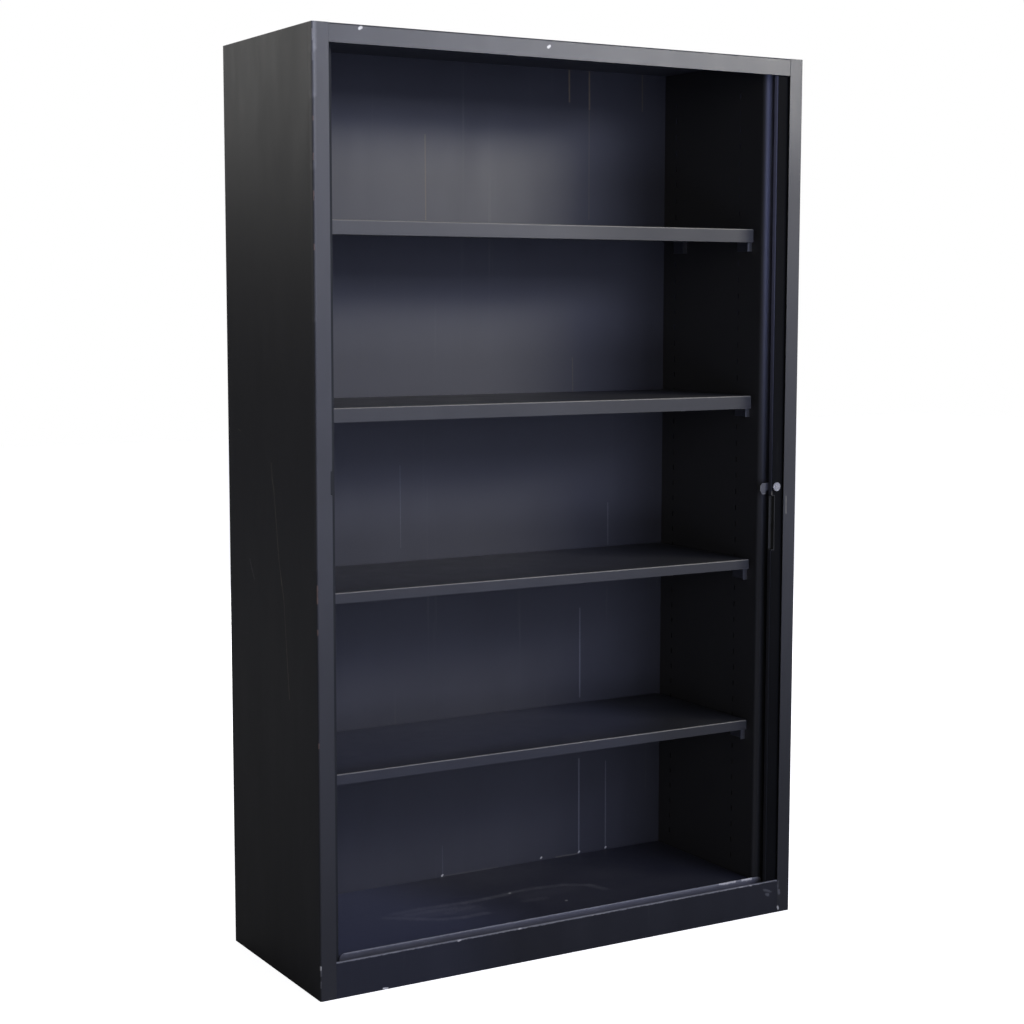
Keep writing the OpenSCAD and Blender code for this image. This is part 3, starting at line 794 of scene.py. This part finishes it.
    def plinth_strokes(self) -> Strokes:
        """Returns the chips and rubs on the plinth, the painted highlight line along its upper edge and a
        painted sheen at its left end.
        """
        f = self.front
        strokes = (Stroke(Mark.CHIP, (-0.2852, f + 0.0005, 0.0765), (-0.281, f + 0.001, 0.0775), 0.0042),)
        for inset, rows in self.plinth_wear_and_light:
            strokes += on_plane(1, f + inset, rows)
        return strokes

    def build(self) -> None:
        """Dresses every panel of the casing."""
        rail = on_plane(1, self.front, (*self.rail_chips, self.seam))
        dress(self.effects, {
            # The side panels' foot settings paint shade: darker towards the bottom.
            "left_side_panel": Paint(
                strokes=self.left_strokes(), depth=0.42, runs=0.12, edge=0.0, foot=0.5, foot_shade_top=1.2
            ),
            "right_side_panel": Paint(strokes=self.right_strokes(), edge=0.0, foot=0.8, foot_shade_top=1.65),
            "top_panel": Paint(strokes=rail, edge=0.0, dust=0.5, top_rough=0.45),
            # Painted shade: the plinth's base colour is darker than the rest of the paint, for the little
            # light its low front gets.
            "plinth": Paint(
                (0.0115, 0.0118, 0.015), specular=0.3, depth=0.8, runs=0.2, edge=0.0, dust=0.6,
                strokes=self.plinth_strokes(),
            ),
            "base_tray": Paint(dust=0.5),
            "outer_back": Paint(runs=0.3, edge=0.2, strokes=self.rear_strokes()),
        })


@dataclass
class Linings:
    """Floor, liners, upstand and inner back, with their streaks and rubs, and the painted highlight, sheen
    and shade on some.

    Flat places are (x, z) on the back and the upstand, and (x, y) on the floor.
    """

    effects: Effects
    back: float = BACK_FACE
    floor: float = FLOOR_Z
    upstand: float = -0.1955
    rusty_above: float = 1.1
    streaks: tuple[tuple[float, float, float, float, float], ...] = (
        (-0.132, 1.811, 1.62, 0.0022, 0.9), (0.254, 1.978, 1.905, 0.003, 1.0),
        (0.3105, 1.978, 1.89, 0.003, 1.0), (0.3105, 1.89, 1.63, 0.0022, 0.45),
        (0.4625, 1.978, 1.893, 0.0026, 0.6), (-0.092, 0.15, 0.078, 0.0016, 0.5),
        (0.291, 0.315, 0.078, 0.0026, 1.0), (0.3695, 0.30, 0.078, 0.002, 0.7),
        (-0.2, 1.06, 0.87, 0.0016, 0.45), (0.2668, 1.30, 1.208, 0.002, 0.6),
        (0.2915, 0.69, 0.47, 0.0024, 0.9), (0.371, 0.945, 0.842, 0.002, 0.8),
    )
    ends: tuple[Flat, ...] = ((-0.0931, 0.0775), (0.1818, 0.08), (0.2914, 0.079), (0.3698, 0.079))
    foot_lines: Rows = (
        (Mark.SCRATCH, (-0.09, 0.0765), (0.06, 0.0765), 0.002, 0.002, 0.25),
        (Mark.SCRATCH, (0.225, 0.0765), (0.29, 0.0765), 0.0022, 0.002, 0.6),
    )
    wisps: tuple[tuple[float, tuple[Flat, ...]], ...] = (
        (0.76, ((-0.349, -0.009), (-0.288, -0.055), (-0.246, -0.082), (-0.196, -0.093), (-0.138, -0.092))),
        (0.6, ((-0.321, 0.006), (-0.255, 0.008), (-0.2, 0.003), (-0.145, -0.002), (-0.085, 0.0),
               (-0.027, 0.005))),
        (0.64, ((-0.3, -0.016), (-0.24, -0.018), (-0.183, -0.026))),
        (0.44, ((-0.212, -0.049), (-0.146, -0.034))),
        (0.4, ((-0.009, 0.012), (0.059, 0.01), (0.124, 0.001), (0.174, -0.032), (0.187, -0.074))),
        (0.36, ((-0.019, -0.061), (0.032, -0.063))),
    )
    floor_marks_and_sheen: Rows = (
        (Mark.CHIP, (-0.0213, 0.008), (-0.018, 0.01), 0.005, 0.004),
        (Mark.SCUFF, (-0.035, 0.008), (0.02, 0.012), 0.005, 0.005, 0.8),
        (Mark.CHIP, (0.0643, -0.1042), (0.066, -0.103), 0.0045, 0.003, 0.7),
        (Mark.WISP, (-0.30, -0.02), (-0.15, -0.045), 0.05, 0.06, 0.35),
        (Mark.WISP, (0.0, -0.03), (0.12, -0.03), 0.04, 0.06, 0.18),
        # Painted sheen over the floor's left part.
        (Mark.PAINTED_SHEEN, (-0.52, 0.17), (-0.42, -0.12), 0.42, 0.02, 0.95),
    )
    crest: Rows = (
        # The first row is a painted highlight along the upstand's top edge; the rest are wear.
        (Mark.RUBBED_AND_HIGHLIGHT, (-0.54, 0.0815), (0.54, 0.0815), 0.0028, 0.004),
        (Mark.SCUFF, (0.30, 0.079), (0.54, 0.08), 0.006, 0.01),
        (Mark.CHIP, (0.43, 0.0805), (0.475, 0.0808), 0.0045, 0.006, 0.75),
        (Mark.CHIP, (0.497, 0.0805), (0.522, 0.0805), 0.005, 0.006, 0.8),
        (Mark.CHIP, (-0.565, 0.0795), (-0.556, 0.0815), 0.004, 0.004, 0.7),
    )

    def back_strokes(self) -> Strokes:
        """Returns the runs down the inner back, brown ones above pale ones, and their ends."""
        rows = [
            (Mark.STREAK if low > self.rusty_above else Mark.LIME, (x, top), (x + 0.001, low), width,
             0.0014, fade)
            for x, top, low, width, fade in self.streaks
        ]
        rows += [(Mark.CHIP, (x, z), (x + 0.002, z + 0.002), 0.0033, 0.003, 0.75) for x, z in self.ends]
        return on_plane(1, self.back, (*rows, *self.foot_lines))

    def floor_strokes(self) -> Strokes:
        """Returns the wisps and chips on the floor, and a painted sheen over its left part."""
        wisps = (
            (Mark.WISP, start, end, 0.016, 0.024, fade)
            for fade, line in self.wisps for start, end in zip(line, line[1:])
        )
        return on_plane(2, self.floor, (*wisps, *self.floor_marks_and_sheen))

    def build(self) -> None:
        """Dresses every lining."""
        dress(self.effects, {
            "inner_back": Paint(
                (0.0245, 0.025, 0.033), rough=0.48, specular=0.42, strokes=self.back_strokes(), runs=0.3,
                edge=0.0, depth=0.34, dust=0.0,
            ),
            "floor_pan": Paint(
                (0.030, 0.031, 0.045), strokes=self.floor_strokes(), edge=0.0, dust=0.22, depth=0.45
            ),
            "front_upstand": Paint(
                (0.085, 0.086, 0.104), depth=0.6, edge=0.3, dust=0.5,
                strokes=on_plane(1, self.upstand, self.crest),
            ),
            # Painted shade: the left liner is darker than the other paint, standing in for the shadow line
            # beside the left jamb.
            "left_liner": Paint((0.018, 0.019, 0.021), rough=0.7, specular=0.1, edge=0.0),
            # The right liner's front carries a painted sheen.
            "right_liner": Paint(
                (0.027, 0.027, 0.030), edge=0.0, runs=0.1,
                front_sheen=((0.006, 0.0062, 0.0075), (0.049, 0.053, 0.087)),
            ),
        })


@dataclass
class Shelving:
    """Four shelves, the lowest first, and the clips that hold them."""

    effects: Effects
    # Each shelf's face colour, its dust and the strength of the painted sheen on its top.
    shelves: tuple[tuple[Colour, float, float], ...] = (
        ((0.0175, 0.0178, 0.0208), 0.3, 0.5), ((0.024, 0.0243, 0.028), 0.16, 0.15),
        ((0.024, 0.0243, 0.028), 0.12, 0.0), ((0.023, 0.0233, 0.0272), 0.12, 0.0),
    )
    # Placing of the painted highlight line along each shelf front's top.
    highlight_inset: float = 0.0004
    highlight_ends: float = 0.003
    # Where the painted sheen on the shelf tops lies and ends.
    sheen_y: float = 0.05
    sheen_end: float = 0.15
    # Where the painted shade over each shelf front's right end lies, and how far it reaches.
    shade_drop: float = 0.02
    shade_reach: float = 0.1

    def build(self) -> None:
        """Dresses each shelf, with painted shade over its right end, a painted highlight line along its
        front and a painted sheen on its top, and its clips.
        """
        for i, (face, dust, top_sheen) in enumerate(self.shelves, start=1):
            low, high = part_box(f"shelf_{i}")
            left, right = low.x + self.highlight_ends, high.x - self.highlight_ends
            highlight_z, shade_z = high.z - self.highlight_inset, high.z - self.shade_drop
            # Painted shade over the right end of the shelf front.
            end_shade = (Mark.PAINTED_SHADE, (high.x, shade_z), (high.x - self.shade_reach, shade_z), 0.5, 0.01)
            # Painted highlight line along the front's top bend.
            highlight_row = (Mark.HIGHLIGHT_LINE, (left, highlight_z), (right, highlight_z), 0.0027, 0.0006)
            # Painted sheen on the shelf's top.
            sheen_row = (Mark.PAINTED_SHEEN, (low.x, high.z), (self.sheen_end, high.z), 0.28, 0.01, top_sheen)
            rows = ((low.y, end_shade), (low.y + self.highlight_inset, highlight_row), (self.sheen_y, sheen_row))
            strokes = tuple(stroke for y, row in rows for stroke in on_plane(1, y, (row,)))
            dress(self.effects, {
                f"shelf_{i}": Paint(face, strokes=strokes, edge=0.0, dust=dust),
                f"shelf_clips_{i}": Metal((0.3, 0.31, 0.34), rough=0.4),
            })


def slat_tree() -> Tree:
    """Builds the geometry tree that stands a row of rounded slats on a canvas and returns it."""
    tree, n, get, out = new_group(
        "slat_row", ("Geometry",), "Geometry", Geometry="Geometry", Count=85, Pitch=0.0131, Width=0.0125,
        Thickness=0.008, Round=0.0015, Foot=0.06, Height=1.9, Face=0.0, First=0.0, Canvas=0.0008,
        Margin=0.03, Finish="Material", Backing="Material",
    )
    outline = n.shape("CurvePrimitiveQuadrilateral", Width=get["Width"], Height=get["Thickness"])
    soft = n.shape("FilletCurve", {"mode": "POLY"}, Curve=outline, Radius=get["Round"], Count=1)
    rail = n.shape("CurvePrimitiveLine", End=n.join(Z=get["Height"]))
    slat = n.shape("CurveToMesh", Curve=rail, Profile_Curve=soft, Fill_Caps=True)
    first = n.join(X=get["First"], Y=n.times(get["Thickness"], 0.5, get["Face"]), Z=get["Foot"])
    row = n.shape("MeshLine", Count=get["Count"], Start_Location=first, Offset=n.join(X=get["Pitch"]))
    slats = n.shape("RealizeInstances", Geometry=n.shape("InstanceOnPoints", Points=row, Instance=slat))
    length = n.times(get["Pitch"], get["Count"])
    tall = n.math("SUBTRACT", get["Height"], get["Margin"])
    sheet = n.shape("MeshCube", Size=n.join(X=length, Y=get["Canvas"], Z=tall))
    rear = n.math("ADD", get["Face"], get["Thickness"])
    behind = n.join(
        X=n.times(n.math("SUBTRACT", length, get["Pitch"]), 0.5, get["First"]),
        Y=n.times(get["Canvas"], 0.5, rear), Z=n.times(get["Height"], 0.5, get["Foot"]),
    )
    canvas = n.shape("Transform", Geometry=sheet, Translation=behind)
    both = n.add("GeometryNodeJoinGeometry")
    for part, material in ((slats, "Finish"), (canvas, "Backing")):
        n.feed(both.inputs[0], n.shape("SetMaterial", Geometry=part, Material=get[material]))
    n.feed(out["Geometry"], both.outputs[0])
    return tree


def screw_tree() -> Tree:
    """Builds the geometry tree that puts a cross-recessed screw head on each point and returns it."""
    tree, n, get, out = new_group(
        "screw_heads", ("Geometry",), "Geometry", Geometry="Geometry", Radius=0.004, Rise=0.0012, Crown=0.78,
        Recess=0.0046, Slot=0.0009, Seed=5, Finish="Material",
    )
    crown = n.times(get["Radius"], get["Crown"])
    head = n.shape("MeshCone", Vertices=24, Radius_Top=crown, Radius_Bottom=get["Radius"], Depth=get["Rise"])
    deep = n.times(get["Rise"], 1.4)
    cut = n.add("GeometryNodeJoinGeometry")
    for across, along in (("Recess", "Slot"), ("Slot", "Recess")):
        size = n.join(X=get[across], Y=get[along], Z=deep)
        n.feed(cut.inputs[0], n.shape("MeshCube", Size=size))
    cutter = n.shape("Transform", Geometry=cut.outputs[0], Translation=n.join(Z=get["Rise"]))
    cross = n.shape("MeshBoolean", {"operation": "DIFFERENCE"}, Mesh_1=head, Mesh_2=cutter)
    upright = (-math.pi / 2, 0.0, 0.0)
    placed = n.shape("InstanceOnPoints", Points=get["Geometry"], Instance=cross, Rotation=upright)
    turn = n.add("FunctionNodeRandomValue", {3: math.pi, "Seed": get["Seed"]}, data_type="FLOAT")
    spun = n.shape("RotateInstances", Instances=placed, Rotation=n.join(Z=turn.outputs[1]))
    heads = n.shape("RealizeInstances", Geometry=spun)
    n.feed(out["Geometry"], n.shape("SetMaterial", Geometry=heads, Material=get["Finish"]))
    return tree


def grow(
    name: str, tree: Tree, values: dict[str, object], points: tuple[Point, ...] = ()
) -> bpy.types.Object:
    """Runs a geometry tree and keeps its result as a plain mesh object.

    Args:
        name: the new object's name.
        tree: the geometry tree.
        values: its inputs, by name.
        points: points that the tree starts from, where it uses any.

    Returns:
        The object, at the origin, with no modifier.
    """
    start = bpy.data.meshes.new(name + "_seed")
    start.from_pydata(points, [], [])
    seed = put(name + "_seed", start)
    modifier = seed.modifiers.new("grow", "NODES")
    modifier.node_group = tree
    keys = {
        item.name: item.identifier for item in tree.interface.items_tree
        if item.item_type == "SOCKET" and item.in_out == "INPUT"
    }
    for label, value in values.items():
        modifier[keys[label]] = value
    bpy.context.view_layer.update()
    grown = bpy.data.meshes.new_from_object(seed.evaluated_get(bpy.context.evaluated_depsgraph_get()))
    seed.modifiers.clear()
    bpy.data.objects.remove(seed)
    grown.name = name
    log.info("%s: %d faces", name, len(grown.polygons))
    return put(name, grown)


@dataclass
class BackFixings:
    """The screws that hold the outer back, as one row round its rim."""

    effects: Effects
    side_x: float = 0.5985
    side_z: tuple[float, ...] = (0.09, 0.39, 0.69, 0.99, 1.29, 1.59, 1.89)
    row_x: tuple[float, ...] = (-0.5, -0.25, 0.0, 0.25, 0.5)
    top_z: float = 1.964
    foot_z: float = 0.048
    seat: float = 0.2273
    foot_seat: float = 0.2263
    radius: float = 0.004
    rise: float = 0.0012

    def build(self) -> None:
        """Makes the screw heads, which stand for the plain ones of the model."""
        points = [(x, self.seat, z) for x in (-self.side_x, self.side_x) for z in self.side_z]
        points += [(x, self.seat, self.top_z) for x in self.row_x]
        points += [(x, self.foot_seat, self.foot_z) for x in self.row_x]
        finish = Metal().make("back_screw_finish", self.effects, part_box("back_screws"))
        values = {"Radius": self.radius, "Rise": self.rise, "Finish": finish}
        obj = grow("back_screw_heads", screw_tree(), values, tuple(points))
        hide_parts("back_screws")
        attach(obj, Body.CABINET.value)


@dataclass
class TambourDoor:
    """The sliding door: stile, lock, guides, stored slats and the length drawn across the front."""

    effects: Effects
    travel: float = 1.116
    pitch: float = 0.0131
    slat_width: float = 0.0125
    slat_thick: float = 0.008
    slat_round: float = 0.0014
    foot: float = 0.060
    head: float = 1.968
    run_y: float = FRONT + 0.012
    bend_x: float = 0.575
    packed: Flat = (0.590, 0.5754)
    reach: Box = (Vector((-1, -1, 0)), Vector((1, 1, 2.2)))
    # Painted sheen colours for the stile's side face, low and high.
    side_sheen_tint: tuple[Colour, Colour] = ((0.032, 0.033, 0.04), (0.165, 0.172, 0.26))
    stile_x: float = 0.5445
    stile_rub: Row = (Mark.SCRATCH, (FRONT + 0.0065, 0.99), (FRONT + 0.007, 0.999), 0.003)
    plain: tuple[str, ...] = (
        "stile_top_guide", "stile_foot_guide", "curtain_end_bar", "curtain_stop", "low_track_front",
        "low_track_rear", "high_track_front", "high_track_rear", "slats_front_bend", "slats_side_run",
        "slats_rear_bend", "slats_rear_run",
    )

    def squeezed(self, x: float) -> float:
        """Finds where a point of the drawn-out door waits while the door is parked.

        Args:
            x: the point's place when the door is closed.

        Returns:
            Its place behind the right jamb, from which the full travel, eased in and out, brings it to x.
        """
        start, end = self.packed
        low, high = 0.0, 1.0
        for _ in range(60):
            t = (low + high) / 2
            reach = start + t * (end - start) - self.travel * t * t * (3 - 2 * t)
            low, high = (t, high) if reach > x else (low, t)
        return start + low * (end - start)

    def drawn_length(self) -> None:
        """Makes the slats that cross the front when the door is closed, squeezed to where they wait behind
        the right jamb while it is parked.
        """
        finish = Plastic((0.0075, 0.0077, 0.0085), rough=0.46, rubs=0.12, specular=0.08)
        obj = grow("curtain_front_run", slat_tree(), {
            "Count": int(self.travel / self.pitch), "Pitch": self.pitch, "Width": self.slat_width,
            "Thickness": self.slat_thick, "Round": self.slat_round, "Foot": self.foot,
            "Height": self.head - self.foot, "Face": self.run_y - self.slat_thick / 2,
            "First": self.bend_x - self.travel + self.pitch / 2,
            "Finish": finish.make("drawn_slat_finish", self.effects, self.reach),
            "Backing": Cloth().make("drawn_canvas_finish", self.effects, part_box("curtain_canvas")),
        })
        for vertex in obj.data.vertices:
            vertex.co.x = self.squeezed(vertex.co.x)
        obj.data.update()
        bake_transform(obj)

    def build(self) -> None:
        """Dresses the door's nodes and makes its drawn-out length."""
        nickel = Metal((0.98, 0.97, 0.94), rough=0.26, grime=0.15)
        stile_rub = on_plane(0, self.stile_x, (self.stile_rub,))
        dress(self.effects, {
            "leading_stile": Plastic(strokes=stile_rub, leading=self.side_sheen_tint),
            "finger_pull": Plastic((0.03, 0.03, 0.029), rough=0.4),
            **dict.fromkeys(self.plain, Plastic()),
            "curtain_canvas": Cloth(),
            "closing_buffers": Plastic((0.01, 0.01, 0.01), rough=0.7),
            "lock_barrel": nickel,
            "lock_plug": nickel,
            "hook_cam": Metal((0.13, 0.135, 0.155), rough=0.45),
            **dict.fromkeys(("cam_screw", "keeper_plate", "keeper_screws"), Metal()),
        })
        self.drawn_length()


@dataclass(frozen=True)
class Lamp:
    """One soft square lamp."""

    name: str
    at: Point
    aim: Point
    size: Flat
    power: float
    colour: Colour = (1.0, 0.99, 0.97)
    spread: float = 180.0
    gloss: bool = True


@dataclass
class Studio:
    """Pale floor, white surroundings, soft lamps and the camera at the photograph's place."""

    eye: Point = (-2.2532, -3.7834, 1.4408)
    yaw: float = 0.5333
    pitch: float = -0.1085
    roll: float = -0.0014
    lens: float = 68.79
    sensor: float = 36.0
    floor_size: float = 30.0
    floor_shade: float = 0.35
    floor_seen: float = 0.9
    floor_glow: float = 0.88
    floor_rough: float = 0.9
    bright_side: Point = (0.1, -0.99, 0.02)
    flatness: Point = (1.0, 1.0, 2.0)
    fill: tuple[float, float, Flat] = (0.45, 0.95, (0.1, 3.0))
    sheen: tuple[float, float, Flat] = (0.1, 1.0, (0.05, 0.5))
    left_side: Flat = (-0.12, -0.5)
    fill_colour: Colour = (0.61, 0.665, 1.0)
    left_colour: Colour = (1.0, 0.95, 0.78)
    lamps: tuple[Lamp, ...] = (
        Lamp("key", (3.6, -3.8, 3.25), (-0.1, 0.0, 2.1), (1.8, 0.8), 23.0, (1.0, 0.97, 0.88), 55.0),
        Lamp("second", (1.75, -3.9, 2.7), (-0.2, 0.0, 1.3), (1.5, 0.8), 12.5, (0.70, 0.75, 1.0), 90.0),
        Lamp("bounce", (0.5, -2.8, 0.02), (0.5, -2.4, 2.0), (2.6, 3.0), 220.0, (0.72, 0.78, 1.0),
             gloss=False),
        Lamp("rear", (1.8, 4.6, 2.4), (0.1, 0.2, 1.0), (3.0, 2.0), 130.0),
        Lamp("side", (-2.3, 3.2, 2.6), (-0.6, 0.0, 1.6), (1.6, 1.2), 11.0),
    )

    def camera(self) -> None:
        """Sets the camera."""
        data = bpy.data.cameras.new("camera")
        data.lens = self.lens
        data.sensor_width = self.sensor
        turn = (
            Matrix.Rotation(-self.yaw, 4, "Z") @ Matrix.Rotation(math.pi / 2 + self.pitch, 4, "X")
            @ Matrix.Rotation(-self.roll, 4, "Z")
        )
        cam = put("camera", data)
        cam.matrix_world = Matrix.Translation(self.eye) @ turn
        bpy.context.scene.camera = cam

    def light(self) -> None:
        """Hangs the lamps."""
        for lamp in self.lamps:
            data = bpy.data.lights.new(lamp.name, "AREA")
            data.shape = "RECTANGLE"
            data.size, data.size_y = lamp.size
            data.energy = lamp.power
            data.color = lamp.colour
            data.spread = math.radians(lamp.spread)
            turn = (Vector(lamp.aim) - Vector(lamp.at)).to_track_quat("-Z", "Y")
            obj = put(lamp.name, data)
            obj.matrix_world = Matrix.Translation(lamp.at) @ turn.to_matrix().to_4x4()
            obj.visible_camera = False
            obj.visible_glossy = lamp.gloss

    def surroundings(self) -> None:
        """Makes the world: white where it is seen, dim where it lights."""
        world = bpy.data.worlds.new("studio")
        bpy.context.scene.world = world
        world.use_nodes = True
        world.node_tree.nodes.clear()
        n = Nodes(world.node_tree)
        rays = n.add("ShaderNodeLightPath").outputs
        seen = n.math("MAXIMUM", rays["Is Camera Ray"], rays["Is Transmission Ray"])
        way = n.add("ShaderNodeTexCoord").outputs["Generated"]
        level = n.vector("NORMALIZE", n.vector("MULTIPLY", way, self.flatness))
        toward = n.vector("DOT_PRODUCT", level, self.bright_side)
        fill, sheen = (n.ramp(toward, *limits) for limits in (self.fill, self.sheen))
        strength = n.between(seen, n.between(rays["Is Glossy Ray"], fill, sheen), 1.0)
        side = n.mix(n.ramp(n.axes(way)[0], *self.left_side), self.fill_colour, self.left_colour)
        tint = n.mix(seen, side, (1.0, 1.0, 1.0))
        back = n.add("ShaderNodeBackground", {"Color": tint, "Strength": strength})
        n.feed(n.add("ShaderNodeOutputWorld").inputs["Surface"], back.outputs[0])

    def floor(self) -> None:
        """Lays the pale floor."""
        half = self.floor_size / 2
        corners = [(-half, -half, 0), (half, -half, 0), (half, half, 0), (-half, half, 0)]
        mesh = bpy.data.meshes.new("floor")
        mesh.from_pydata(corners, [], [(0, 1, 2, 3)])
        mat, n, shader = start_material("pale_floor", specular=0.0)
        shader.inputs["Roughness"].default_value = self.floor_rough
        rays = n.add("ShaderNodeLightPath").outputs
        seen = n.math("MAXIMUM", rays["Is Camera Ray"], rays["Is Transmission Ray"])
        n.feed(shader.inputs["Base Color"], n.mix(seen, (self.floor_shade,) * 3, (self.floor_seen,) * 3))
        glow = {"Color": (1.0, 1.0, 1.0), "Strength": n.times(seen, self.floor_glow)}
        lit = n.add("ShaderNodeEmission", glow).outputs[0]
        both = n.add("ShaderNodeAddShader", {0: shader.outputs[0], 1: lit})
        n.feed(mat.node_tree.nodes["Material Output"].inputs["Surface"], both.outputs[0])
        mesh.materials.append(mat)
        put("floor", mesh)

    def build(self) -> None:
        """Sets the whole studio."""
        self.camera()
        self.light()
        self.surroundings()
        self.floor()
        bpy.context.scene.view_settings.view_transform = "Standard"


def main() -> None:
    """Dresses the cabinet and sets the studio."""
    logging.basicConfig(level=logging.INFO, format="%(name)s: %(message)s")
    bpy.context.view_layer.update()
    effects = Effects()
    Casing(effects).build()
    Linings(effects).build()
    Shelving(effects).build()
    TambourDoor(effects).build()
    BackFixings(effects).build()
    Studio().build()


if __name__ == "__main__":
    main()
